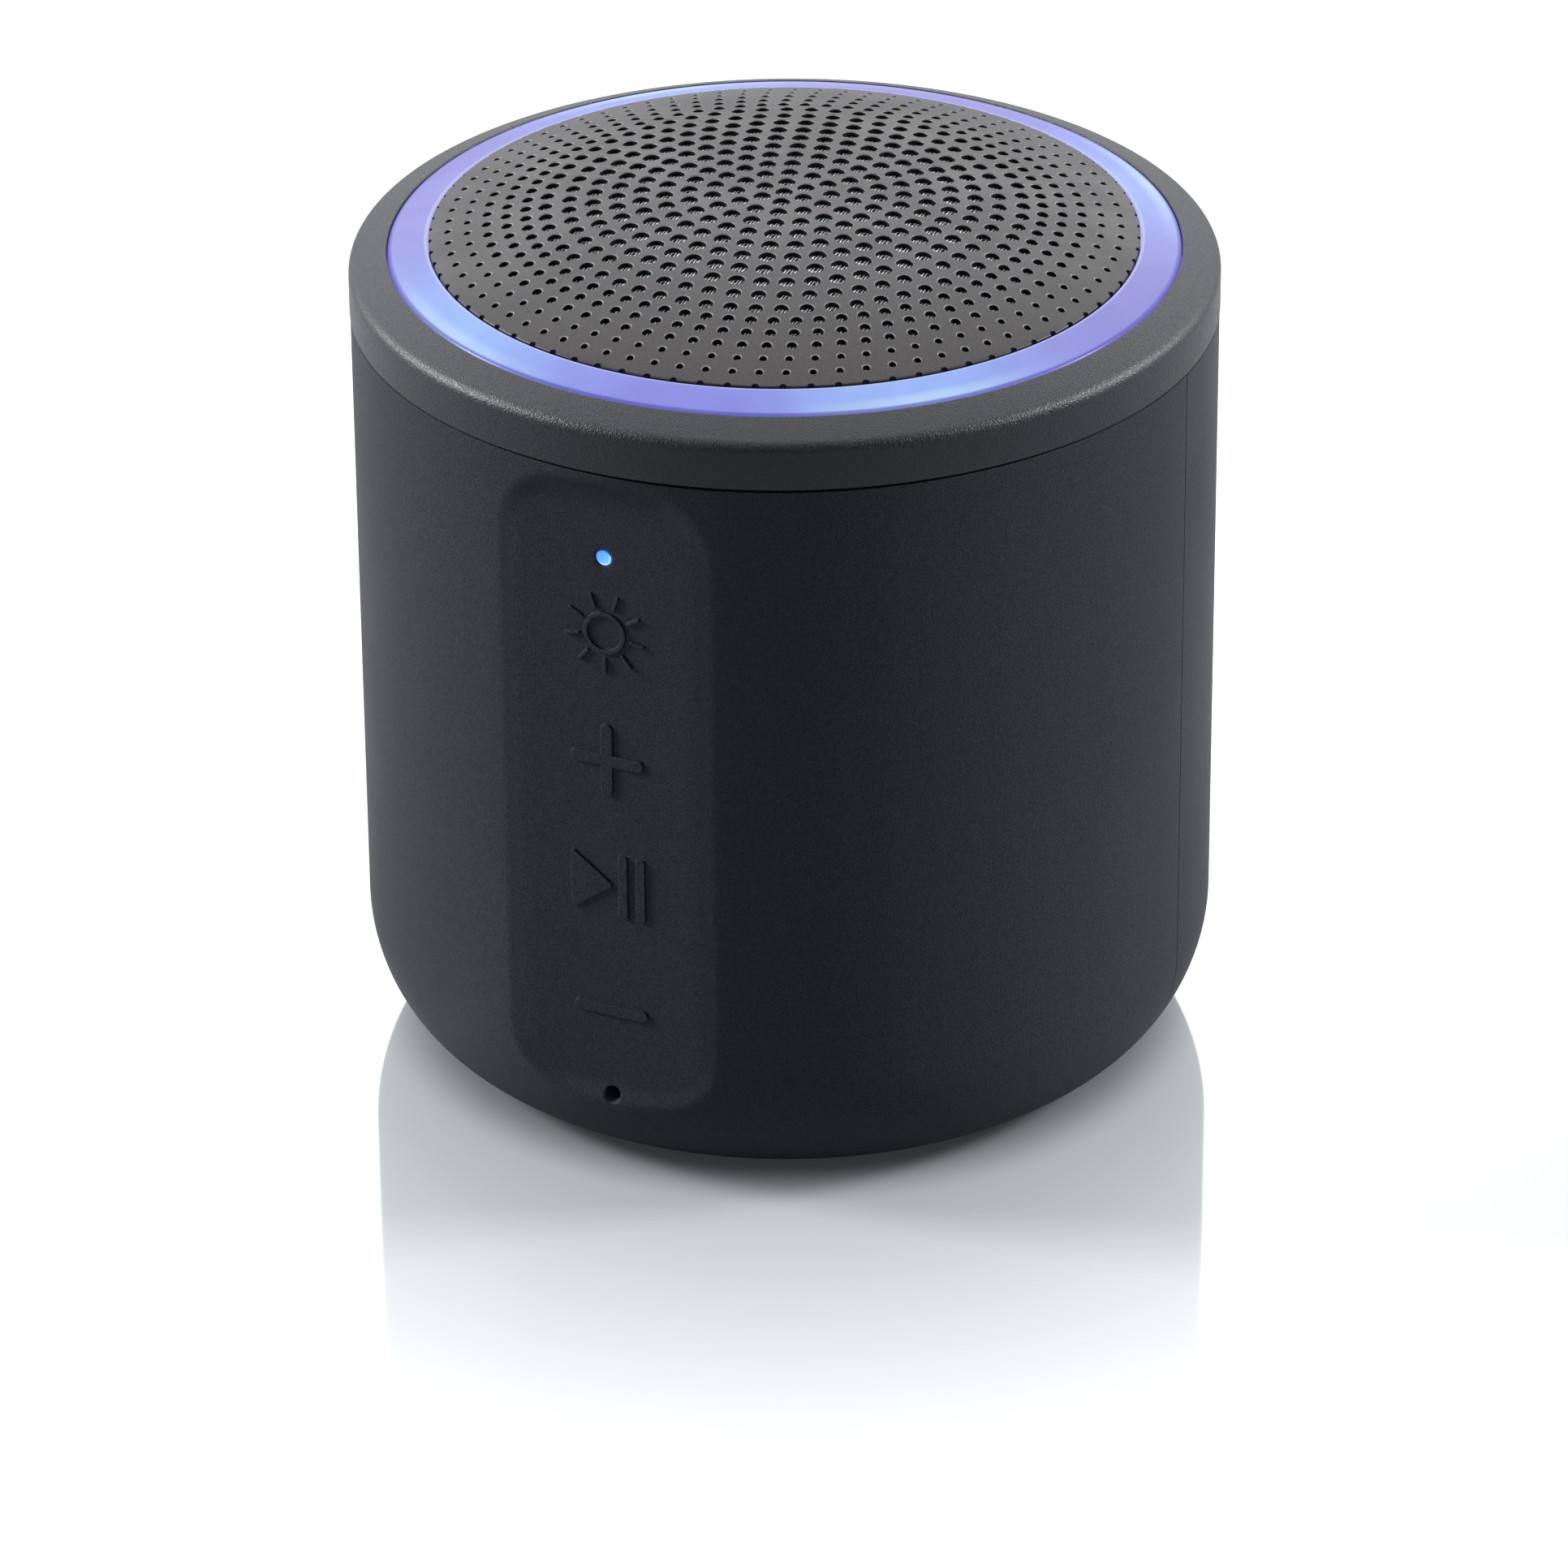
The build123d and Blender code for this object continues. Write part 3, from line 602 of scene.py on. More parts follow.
def hole_rings():
    """(ring radius, number of holes, hole radius, first angle) of the grille's rings of holes."""
    rings = [(0.0, 1, CENTRE_HOLE, 0.0)]
    for k, size in enumerate(HOLE_SIZES, start=1):
        if k <= INNER_RINGS:
            radius = RING_PITCH * k
            count = 6 * k
        else:
            radius = RING_PITCH * INNER_RINGS + OUTER_RING_PITCH * (k - INNER_RINGS)
            count = FIRST_OUTER_COUNT + 2 * (k - INNER_RINGS - 1)
        rings.append((radius, count, size / 2, RING_TURN + RING_SHIFT * k * FULL_TURN / count))
    return rings


def hole_places():
    """Centres and radii of all holes, with the cut ones on the rim last, and their number."""
    holes = []
    for radius, count, size, first in hole_rings():
        for k in range(count):
            angle = first + k * FULL_TURN / count
            holes.append((radius * math.cos(angle), radius * math.sin(angle), size))
    return np.array(holes), hole_rings()[-1][1]


def scalloped_rim(ring, edge_r):
    """The grille's outline, a circle bitten by the last ring of holes."""
    radius, count, size, first = ring
    half = math.acos((radius**2 + edge_r**2 - size**2) / (2 * radius * edge_r))
    step = FULL_TURN / count
    points = []
    for k in range(count):
        middle = first + k * step
        cx, cy = radius * math.cos(middle), radius * math.sin(middle)
        ends = []
        for side in (-half, half):
            ends.append((edge_r * math.cos(middle + side) - cx, edge_r * math.sin(middle + side) - cy))
        start = math.atan2(ends[0][1], ends[0][0])
        sweep = (math.atan2(ends[1][1], ends[1][0]) - start) % -FULL_TURN
        for j in range(11):
            turn = start + sweep * j / 10
            points.append((cx + size * math.cos(turn), cy + size * math.sin(turn)))
        for j in range(1, 5):
            turn = middle + half + (step - 2 * half) * j / 5
            points.append((edge_r * math.cos(turn), edge_r * math.sin(turn)))
    return points


def grille_sheet():
    """The domed, perforated sheet with bevelled holes and a turned-down rim."""
    holes, cut = hole_places()
    plan = Plan()
    for x, y, size in holes[:-cut]:
        count = 24 if size > 0.5 else 16
        for grow in (0.0, 0.025, HOLE_BEVEL):
            plan.loop(circle(x, y, size + grow, count))
    plan.loop(scalloped_rim(hole_rings()[-1], GRILLE_R))
    skirt_r = GRILLE_R - GRILLE_SKIRT_T
    for radius in (skirt_r, skirt_r + 0.06, GRILLE_R - RIM_ROLL, GRILLE_R - 0.05):
        plan.loop(circle(0, 0, radius, 360))
    points, faces = plan.triangles()
    radius = np.hypot(points[:, 0], points[:, 1])
    gap = np.full(len(points), 1e3)
    for x, y, size in holes[:-cut]:
        gap = np.minimum(gap, np.hypot(points[:, 0] - x, points[:, 1] - y) - size)
    hole_drop = rolled(1 - gap / HOLE_BEVEL, HOLE_BEVEL, 0.96)
    rim_drop = rolled((radius - GRILLE_R + RIM_ROLL) / RIM_ROLL, RIM_ROLL, 0.96)
    top = dome_z(radius) - hole_drop - rim_drop
    low = np.where(radius > skirt_r + 0.03, GRILLE_LOW_Z, dome_z(radius) - GRILLE_T)
    middle = points[faces].mean(1)
    solid = np.ones(len(faces), bool)
    for x, y, size in holes:
        solid &= np.hypot(middle[:, 0] - x, middle[:, 1] - y) > size * 0.985
    solid &= np.hypot(middle[:, 0], middle[:, 1]) < GRILLE_R
    outer = np.column_stack([points, top])
    inner = np.column_stack([points, low])
    return thick_piece("grille_sheet", outer, inner, faces[solid], sharp_deg=12)


def woven_screen():
    """The woven screen stretched under the grille."""
    spots = [CLOTH_R * k / 24 for k in range(25)]
    drop = DOME_TOP_Z - CLOTH_TOP_Z + 0.02
    top = [(max(r, AXIS_R), dome_z(r) - drop) for r in spots]
    low = [(r, z - SCREEN_T) for r, z in reversed(top)]
    return lathe("woven_screen", top + low, 180)


def indicator():
    """The clear pin that carries the status light to the panel, with a slightly domed face."""
    back = PANEL_Y - WALL - 0.05
    head_r, head_t = PIN_HEAD
    face = ((AXIS_R, 0.02), (0.4, 0.005), (LED_R, -0.03), (PIN_R, -0.1))
    outline = [(radius, PANEL_Y + rise) for radius, rise in face]
    outline += [(PIN_R, back), (head_r, back), (head_r, back - head_t), (AXIS_R, back - head_t)]
    pin = lathe("indicator_pin", outline, 48)
    turn = Matrix.Translation(Vector((0, 0, LED_Z * MM))) @ Matrix.Rotation(math.pi / 2, 4, "X")
    return faced(pin, turn)


def foot_tread():
    """The rubber foot, a dished disc with fine grooves round its tread."""
    hollow_r, hollow = TREAD_HOLLOW
    outline = [(AXIS_R, FOOT_T), (AXIS_R, hollow), (hollow_r, hollow)]
    for groove in range(GROOVES):
        start = FIRST_GROOVE_R + groove * GROOVE_PITCH
        outline += [(start, 0.06), (start + 0.06, 0.0), (start + 0.42, 0.0), (start + 0.48, 0.06)]
        outline += [(start + 0.52, GROOVE_DEPTH), (start + 0.66, GROOVE_DEPTH)]
    outline += [(FOOT_R - 0.5, 0.0), (FOOT_R - 0.15, 0.03), (FOOT_R, 0.18), (FOOT_R, FOOT_T)]
    return lathe("foot_tread", outline, 220)


# ---- the driver's moving edge ----
SECTORS = 12


def flexing_ring(name, outline, slot, node, inner, outer, height):
    """A ring between the cone and its frame, made in sectors."""
    for k in range(SECTORS):
        first = k * FULL_TURN / SECTORS
        last = (k + 1) * FULL_TURN / SECTORS
        part = lathe(f"{name}_{k + 1:02d}", outline, 10, first, last)
        place(part, None, slot, node)
        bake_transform(part)


def surround_ring():
    low = box_mm("surround")[0].z
    arc = [k * math.pi / 12 for k in range(13)]
    half, rise = ROLL_UNDER
    under = [(ROLL_MIDDLE_R - half * math.cos(a), low + rise * math.sin(a)) for a in arc]
    half, rise = ROLL_OVER
    high = low + LIP_T
    over = [(ROLL_MIDDLE_R + half * math.cos(a), high + rise * math.sin(a)) for a in arc]
    outline = [(LIP_IN_R, low)] + under + [(LIP_OUT_R, low), (LIP_OUT_R, high)] + over + [(LIP_IN_R, high)]
    flexing_ring("surround_roll", outline, "surround_rubber", "surround", *ROLL_FLEX, low)


def spider_ring():
    low, high = box_mm("spider")
    middle = (low.z + high.z) / 2
    shares = [k / 40 for k in range(41)]
    radii = [SPIDER_IN_R + (high.x - SPIDER_IN_R) * share for share in shares]
    wave = [SPIDER_WAVE * math.sin(FULL_TURN * SPIDER_WAVES * share) for share in shares]
    top = [(r, middle + w + SPIDER_T / 2) for r, w in zip(radii, wave)]
    under = [(r, middle + w - SPIDER_T / 2) for r, w in zip(radii, wave)]
    flexing_ring("spider_wave", top + under[::-1], "spider_cloth", "spider", 8.7, high.x - 0.5, middle)


# ---- materials ----
COAT_LEVEL = 0.74  # how bright the soft coat's colours are taken


class Shader:
    """A node material under construction: a Principled surface with helpers for its patterns."""

    def __init__(self, name):
        self.material = bpy.data.materials.new(name)
        self.material.use_nodes = True
        self.tree = self.material.node_tree
        self.tree.nodes.clear()
        output = self.tree.nodes.new("ShaderNodeOutputMaterial")
        self.surface = self.tree.nodes.new("ShaderNodeBsdfPrincipled")
        self.tree.links.new(self.surface.outputs[0], output.inputs[0])
        self.place = self.node("ShaderNodeTexCoord").outputs["Object"]

    def node(self, kind, settings=None, **inputs):
        made = self.tree.nodes.new(kind)
        for key, value in (settings or {}).items():
            setattr(made, key, value)
        for key, value in inputs.items():
            self.put(made.inputs[key.replace("_", " ")], value)
        return made

    def put(self, socket, value):
        if isinstance(value, bpy.types.NodeSocket):
            self.tree.links.new(value, socket)
        else:
            socket.default_value = value

    def set(self, **inputs):
        for key, value in inputs.items():
            self.put(self.surface.inputs[key.replace("_", " ")], value)

    def math(self, operation, first, second=0.0, third=0.0):
        made = self.tree.nodes.new("ShaderNodeMath")
        made.operation = operation
        for socket, value in zip(made.inputs, (first, second, third)):
            self.put(socket, value)
        return made.outputs[0]

    def noise(self, size_mm, detail=2.0, rough=0.5):
        """Noise with features of about that size."""
        made = self.node("ShaderNodeTexNoise", Scale=1 / (size_mm * MM), Detail=detail, Roughness=rough)
        self.put(made.inputs["Vector"], self.place)
        return made.outputs["Fac"]

    def ramp(self, value, low, high, out_low=0.0, out_high=1.0):
        made = self.node("ShaderNodeMapRange", {"interpolation_type": "SMOOTHSTEP"})
        ends = {"From Min": low, "From Max": high, "To Min": out_low, "To Max": out_high}
        for key, number in ends.items():
            made.inputs[key].default_value = number
        self.put(made.inputs["Value"], value)
        return made.outputs["Result"]

    def mix(self, share, first, second):
        made = self.node("ShaderNodeMix", {"data_type": "RGBA"})
        for socket, value in ((0, share), (6, first), (7, second)):
            self.put(made.inputs[socket], value)
        return made.outputs[2]

    def parts(self):
        """The place's x, y and z."""
        return self.node("ShaderNodeSeparateXYZ", Vector=self.place).outputs

    def length(self, first, second):
        """The length of a flat step that has these two parts."""
        squares = self.math("ADD", self.math("MULTIPLY", first, first), self.math("MULTIPLY", second, second))
        return self.math("SQRT", squares)

    def facing(self, axis):
        """How squarely the surface faces along an axis, from 0 to 1."""
        normal = self.node("ShaderNodeNewGeometry").outputs["True Normal"]
        return self.math("ABSOLUTE", self.node("ShaderNodeSeparateXYZ", Vector=normal).outputs[axis])

    def bump(self, height, distance_um, normal=None):
        made = self.node("ShaderNodeBump", Height=height, Distance=distance_um * 1e-6, Strength=1.0)
        if normal is not None:
            self.put(made.inputs["Normal"], normal)
        return made.outputs["Normal"]


def linear(*srgb):
    """A colour given in 0-255 display values, as linear RGBA."""
    scaled = [c / 255 for c in srgb]
    return tuple(c / 12.92 if c <= 0.04045 else ((c + 0.055) / 1.055) ** 2.4 for c in scaled) + (1.0,)


def shade(colour, factor):
    return tuple(min(1.0, c * factor) for c in colour[:3]) + (1.0,)


def plain_finish(name, colour, roughness, grain_mm, bump_um, metallic, specular, vary):
    """Moulded, painted or cast stuff: blotched colour, fine grain, uneven gloss."""
    s = Shader(name)
    grain = s.noise(grain_mm, 3.0, 0.6)
    blotch = s.noise(grain_mm * 40, 4.0, 0.55)
    tone = s.math("MULTIPLY_ADD", grain, 0.5, s.math("MULTIPLY", blotch, 0.5))
    s.set(Base_Color=s.mix(s.ramp(tone, 0.3, 0.7), shade(colour, 1 - vary), shade(colour, 1 + vary)))
    s.set(Roughness=s.ramp(blotch, 0.25, 0.75, roughness - 0.05, roughness + 0.05))
    s.set(Metallic=metallic, Specular_IOR_Level=specular, Normal=s.bump(grain, bump_um))
    return s


def soft_touch(name, shaded_walls=False):
    """The rubbery charcoal coat of the shells and keys, with painted shade on the steep walls of a symbol."""
    s = Shader(name)
    grain = s.noise(0.12, 1.0, 0.6)
    mottle = s.noise(0.5, 2.0, 0.5)
    blotch = s.noise(22, 2.0, 0.5)
    tone = s.math("MULTIPLY_ADD", grain, 0.9, s.math("MULTIPLY", mottle, 0.1))
    dark = shade(linear(30, 31, 35), COAT_LEVEL)
    light = shade(linear(43, 45, 50), COAT_LEVEL)
    coat = s.mix(s.ramp(tone, 0.35, 0.65), dark, light)
    if shaded_walls:
        # Painted shade: the steep walls of a symbol turn near black.
        coat = s.mix(s.ramp(s.facing(1), 0.55, 0.9, 0.8, 0.0), coat, linear(6, 6, 7))
    s.set(Base_Color=coat)
    s.set(Roughness=s.ramp(blotch, 0.3, 0.7, 0.47, 0.54))
    s.set(Specular_IOR_Level=0.03)
    s.set(Normal=s.bump(mottle, 3, s.bump(grain, 44)))
    return s


def bezel_coat(name):
    s = Shader(name)
    grain = s.noise(0.15, 1.0, 0.6)
    speck = s.noise(0.3, 2.0, 0.5)
    tone = s.math("MULTIPLY_ADD", grain, 0.6, s.math("MULTIPLY", speck, 0.4))
    s.set(Base_Color=s.mix(s.ramp(tone, 0.3, 0.7), linear(9, 10, 12), linear(22, 23, 27)))
    s.set(Roughness=s.ramp(speck, 0.3, 0.7, 0.4, 0.5))
    s.set(Specular_IOR_Level=0.2)
    s.set(Normal=s.bump(grain, 64))
    return s


def grille_paint(name):
    """Satin paint on the sheet, with a painted highlight on the holes' rounded rims and painted shade down
    their bores.
    """
    s = Shader(name)
    grain = s.noise(0.12, 2.0, 0.6)
    blotch = s.noise(7, 3.0, 0.5)
    paint = s.mix(s.ramp(grain, 0.3, 0.7), linear(28, 26, 27), linear(41, 39, 40))
    rise = s.facing(2)
    x, y, _ = s.parts()
    radius = s.length(x, y)
    within = s.ramp(radius, (GRILLE_R - 0.5) * MM, (GRILLE_R - 0.3) * MM, 1.0, 0.0)
    # Painted highlight on the bevelled rims of the holes, and painted shade down their bores.
    rim = s.math("MULTIPLY", s.ramp(rise, 0.86, 0.95, 1.0, 0.0), within)
    bore_shade = s.ramp(rise, 0.2, 0.4, 1.0, 0.0)
    paint = s.mix(rim, paint, linear(84, 84, 86))
    s.set(Base_Color=s.mix(bore_shade, paint, linear(8, 8, 9)))
    s.set(Roughness=s.ramp(blotch, 0.3, 0.7, 0.38, 0.48))
    s.set(Specular_IOR_Level=0.14)
    s.set(Normal=s.bump(grain, 5))
    return s


def weave(name, pitch_mm, thread, gap, specular):
    """A weave of bright threads along Y, each held down in places by darker ones along X, with painted shade
    in the gaps between them.
    """
    s = Shader(name)
    x, y, _ = s.parts()
    turn = math.pi / (pitch_mm * MM)
    first = s.math("MULTIPLY", x, turn)
    second = s.math("MULTIPLY", y, turn / 2.5)
    ridge_a = s.math("ABSOLUTE", s.math("SINE", first))
    ridge_b = s.math("ABSOLUTE", s.math("SINE", second))
    crossing = s.math("MULTIPLY", s.math("COSINE", first), s.math("COSINE", second))
    over = s.math("GREATER_THAN", crossing, 0.0)
    chosen = s.node("ShaderNodeMix")
    for socket, value in ((0, over), (2, ridge_a), (3, ridge_b)):
        s.put(chosen.inputs[socket], value)
    height = chosen.outputs[0]
    lit = s.mix(over, thread, shade(thread, 0.2))
    # Painted shade: the gap colour between the threads.
    s.set(Base_Color=s.mix(s.ramp(height, 0.66, 0.9), gap, lit))
    s.set(Roughness=s.ramp(s.noise(0.5), 0.3, 0.7, 0.3, 0.45))
    s.set(Specular_IOR_Level=specular, Normal=s.bump(height, 60))
    return s


def glow(name):
    """The lit ring: four bright blue spots over its lamps, violet between them."""
    s = Shader(name)
    x, y, _ = s.parts()
    angle = s.math("ARCTAN2", y, x)
    radius = s.length(x, y)
    # The left front lamp sits further round than the others.
    shifted = s.math("ADD", angle, s.ramp(angle, -1.4, -1.0, -0.22, 0.0))
    lamps = s.math("COSINE", s.math("MULTIPLY_ADD", shifted, 4.0, math.pi))
    wave = s.math("MULTIPLY_ADD", lamps, 0.5, 0.5)
    lamp = s.math("POWER", wave, 1.6)
    front = s.ramp(s.math("DIVIDE", y, radius), -0.9, -0.3, 1.0, 0.0)
    between = s.mix(front, linear(148, 145, 220), linear(146, 148, 232))
    hot = s.mix(front, linear(157, 177, 250), linear(160, 194, 255))
    colour = s.mix(lamp, between, hot)
    outward = s.ramp(radius, GUIDE_IN_R * MM, GUIDE_OUT_R * MM)
    flare = s.math("MULTIPLY", s.ramp(outward, 0.45, 0.9), s.math("POWER", wave, 4.0))
    colour = s.mix(s.math("MULTIPLY", flare, 0.75), colour, linear(198, 226, 254))
    lip = s.ramp(outward, 0.955, 0.995)
    colour = s.mix(s.math("MULTIPLY", lip, 0.75), colour, linear(88, 84, 190))
    inner_lip = s.ramp(outward, 0.0, 0.035, 1.0, 0.0)
    colour = s.mix(s.math("MULTIPLY", inner_lip, 0.6), colour, linear(205, 214, 255))
    cloud = s.ramp(s.noise(3.0, 2.0), 0.3, 0.7, 0.94, 1.0)
    s.set(Base_Color=linear(10, 10, 24), Roughness=s.ramp(s.noise(0.6), 0.3, 0.7, 0.2, 0.26))
    s.set(Emission_Color=colour, Emission_Strength=s.math("MULTIPLY", cloud, 0.93))
    s.set(Specular_IOR_Level=0.04, Normal=s.bump(s.noise(1.5), 4))
    return s


def lens(name):
    """The lit status pin."""
    s = Shader(name)
    x, _, z = s.parts()
    rise = s.math("SUBTRACT", z, LED_Z * MM)
    across = s.math("SUBTRACT", x, rise)
    radius = s.length(x, rise)
    crescent = s.math("MULTIPLY", s.ramp(radius, 0.48 * MM, 0.58 * MM), s.ramp(across, 0.0, 0.5 * MM))
    colour = s.mix(s.ramp(across, -0.6 * MM, 0.6 * MM), linear(66, 150, 250), linear(96, 190, 255))
    colour = s.mix(crescent, colour, linear(190, 234, 255))
    colour = s.mix(s.ramp(radius, 0.63 * MM, 0.68 * MM), colour, linear(14, 6, 112))
    s.set(Base_Color=linear(20, 60, 120), Roughness=s.ramp(s.noise(0.3), 0.3, 0.7, 0.12, 0.2))
    s.set(Emission_Color=colour, Emission_Strength=1.0, Normal=s.bump(s.noise(0.25), 3))
    return s


def circuit_board(name, mask, track):
    """Solder mask over copper tracks."""
    s = Shader(name)
    kind = {"feature": "DISTANCE_TO_EDGE", "distance": "MANHATTAN"}
    patches = s.node("ShaderNodeTexVoronoi", kind, Scale=1 / 0.003)
    s.put(patches.inputs["Vector"], s.place)
    lines = s.ramp(patches.outputs[0], 0.04, 0.07, 1.0, 0.0)
    s.set(Base_Color=s.mix(lines, mask, track))
    s.set(Roughness=s.ramp(s.noise(1.0), 0.3, 0.7, 0.3, 0.42), Normal=s.bump(lines, 25))
    return s


def wound(name, colour, pitch_mm, metallic):
    """Turns of wire or ribs, stacked along Z, with painted shade in the grooves between them."""
    s = Shader(name)
    z = s.parts()[2]
    ridge = s.math("ABSOLUTE", s.math("SINE", s.math("MULTIPLY", z, math.pi / (pitch_mm * MM))))
    # Painted shade: the grooves between turns darker than the turns.
    s.set(Base_Color=s.mix(ridge, shade(colour, 0.4), colour), Metallic=metallic)
    s.set(Roughness=s.ramp(s.noise(0.4), 0.3, 0.7, 0.28, 0.4), Normal=s.bump(ridge, 60))
    return s


# Plain finishes: colour, roughness, grain, bump, metallic, specular level, variation.
PLAIN = {
    "foot_rubber": (linear(38, 38, 40), 0.7, 0.25, 22, 0.0, 0.3, 0.2),
    "inner_plastic": (linear(44, 44, 47), 0.5, 0.3, 10, 0.0, 0.4, 0.12),
    "board_white": (linear(225, 226, 222), 0.4, 0.2, 4, 0.0, 0.5, 0.03),
    "chip": (linear(34, 35, 37), 0.45, 0.08, 6, 0.0, 0.45, 0.15),
    "led_package": (linear(238, 236, 214), 0.35, 0.2, 3, 0.0, 0.5, 0.04),
    "connector": (linear(226, 221, 206), 0.45, 0.25, 5, 0.0, 0.45, 0.05),
    "plated_steel": (linear(196, 196, 192), 0.3, 0.15, 4, 1.0, 0.5, 0.06),
    "screw_steel": (linear(150, 150, 150), 0.34, 0.1, 6, 1.0, 0.5, 0.1),
    "jack_metal": (linear(172, 174, 178), 0.28, 0.12, 4, 1.0, 0.5, 0.06),
    "basket_paint": (linear(52, 53, 55), 0.42, 0.2, 12, 0.0, 0.5, 0.12),
    "ferrite": (linear(62, 60, 62), 0.6, 0.18, 18, 0.0, 0.4, 0.16),
    "cone_paper": (linear(48, 46, 46), 0.75, 0.5, 40, 0.0, 0.3, 0.25),
    "surround_rubber": (linear(30, 30, 31), 0.5, 0.3, 8, 0.0, 0.4, 0.12),
    "former_foil": (linear(205, 160, 90), 0.3, 0.3, 3, 0.6, 0.5, 0.06),
    "lead_sleeve": (linear(150, 30, 28), 0.45, 0.3, 6, 0.0, 0.45, 0.08),
    "cell_sleeve": (linear(60, 110, 150), 0.3, 0.6, 5, 0.0, 0.5, 0.05),
    "foam": (linear(52, 52, 54), 0.9, 0.4, 120, 0.0, 0.2, 0.35),
    "capacitor_can": (linear(48, 46, 60), 0.3, 0.4, 4, 0.1, 0.5, 0.06),
}
SPECIAL = {
    "soft_touch": soft_touch,
    "key_rubber": lambda name: soft_touch(name, shaded_walls=True),
    "bezel_coat": bezel_coat,
    "grille_paint": grille_paint,
    "grille_cloth": lambda name: weave(name, 0.3, linear(215, 218, 222), linear(2, 2, 3), 0.25),
    "spider_cloth": lambda name: weave(name, 0.5, linear(196, 160, 92), linear(90, 66, 30), 0.3),
    "light_guide": glow,
    "indicator_lens": lens,
    "board": lambda name: circuit_board(name, linear(18, 74, 44), linear(46, 122, 70)),
    "copper_wire": lambda name: wound(name, linear(214, 128, 78), 0.25, 1.0),
}
made_finishes = {}


def finish_of(slot):
    """The material of a slot, made once."""
    if slot not in made_finishes:
        if slot in SPECIAL:
            shader = SPECIAL[slot](slot)
        else:
            shader = plain_finish(slot, *PLAIN[slot])
        made_finishes[slot] = shader.material
    return made_finishes[slot]


# Which finish each CAD node that stays in view of itself takes.
NODE_SLOTS = {
    "inner_plastic": ["bottom_cover", "baffle", "chassis"],
    "foot_rubber": ["mic_boot"],
    "screw_steel": [f"{at}_screws" for at in ("base", "baffle", "key_board", "driver", "board")],
    "board_white": ["led_ring_board"],
    "led_package": ["ring_leds", "status_led"],
    "connector": ["ring_ribbon", "lead_connector", "board_link"] + [f"{key}_plunger" for key in KEYS],
    "plated_steel": ["key_switches", "mic_capsule", "top_plate", "yoke", "battery_tabs", "bluetooth_module"],
    "board": ["key_board", "main_board"],
    "foam": ["driver_gasket", "battery_foam"],
    "basket_paint": ["driver_basket"],
    "cone_paper": ["cone", "dust_cap"],
    "former_foil": ["coil_former"],
    "copper_wire": ["voice_coil", "driver_terminals"],
    "ferrite": ["magnet", "power_inductors"],
    "lead_sleeve": ["speaker_leads"],
    "cell_sleeve": ["battery_cell"],
    "chip": ["board_chips", "aux_jack"],
    "capacitor_can": ["capacitors"],
    "jack_metal": ["usb_jack"],
}


def paint_nodes():
    """Gives every CAD node that stays its finish."""
    for slot, names in NODE_SLOTS.items():
        for name in names:
            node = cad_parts[name]
            node.data.materials.clear()
            node.data.materials.append(finish_of(slot))


# ---- stage, light and camera ----
CAMERA_TURN = math.radians(24.9)
CAMERA_AT = Vector((-0.409, -665.9, 382.4))
CAMERA_PITCH = math.radians(28.493)
CAMERA_ROLL = -0.0079
CAMERA_LENS = 195.45
# The matt colour near the body and far from it: the dark near colour is painted shade, which deepens the
# body's mirror image.
FLOOR_NEAR_SHADE = (0.08, 0.085, 0.088, 1.0)
FLOOR_FAR = (0.232, 0.234, 0.236, 1.0)
FLOOR_LIT = (0.26, 0.28, 0.295, 1.0)  # the light that comes up through the sheet
FLOOR_GLOSS = 0.25
GLOSS_ENDS = (0.026, 0.088)  # metres from the middle, where the gloss starts and stops to fade
LIT_STARTS = (0.031, 0.038)  # and where the light from below comes up to its full strength, dimmer nearer the foot as painted shade
SKY_FRONT = 0.35  # radiance in front of the object
SKY_LOW = 0.6  # what the sky adds behind it
SKY_HIGH = 3.4  # and what a band at middle heights adds to that


def camera():
    turn = Matrix.Rotation(CAMERA_TURN, 3, "Z")
    forward = turn @ Vector((0, math.cos(CAMERA_PITCH), -math.sin(CAMERA_PITCH)))
    level = turn @ Vector((1, 0, 0))
    upright = level.cross(forward)
    right = math.cos(CAMERA_ROLL) * level + math.sin(CAMERA_ROLL) * upright
    up = math.cos(CAMERA_ROLL) * upright - math.sin(CAMERA_ROLL) * level
    data = bpy.data.cameras.new("camera")
    data.lens = CAMERA_LENS
    data.sensor_width = 36
    data.clip_start = 0.01
    data.clip_end = 20
    made = bpy.data.objects.new("camera", data)
    bpy.context.scene.collection.objects.link(made)
    pose = Matrix((right, up, -forward)).transposed().to_4x4()
    pose.translation = turn @ CAMERA_AT * MM
    made.matrix_world = pose
    bpy.context.scene.camera = made


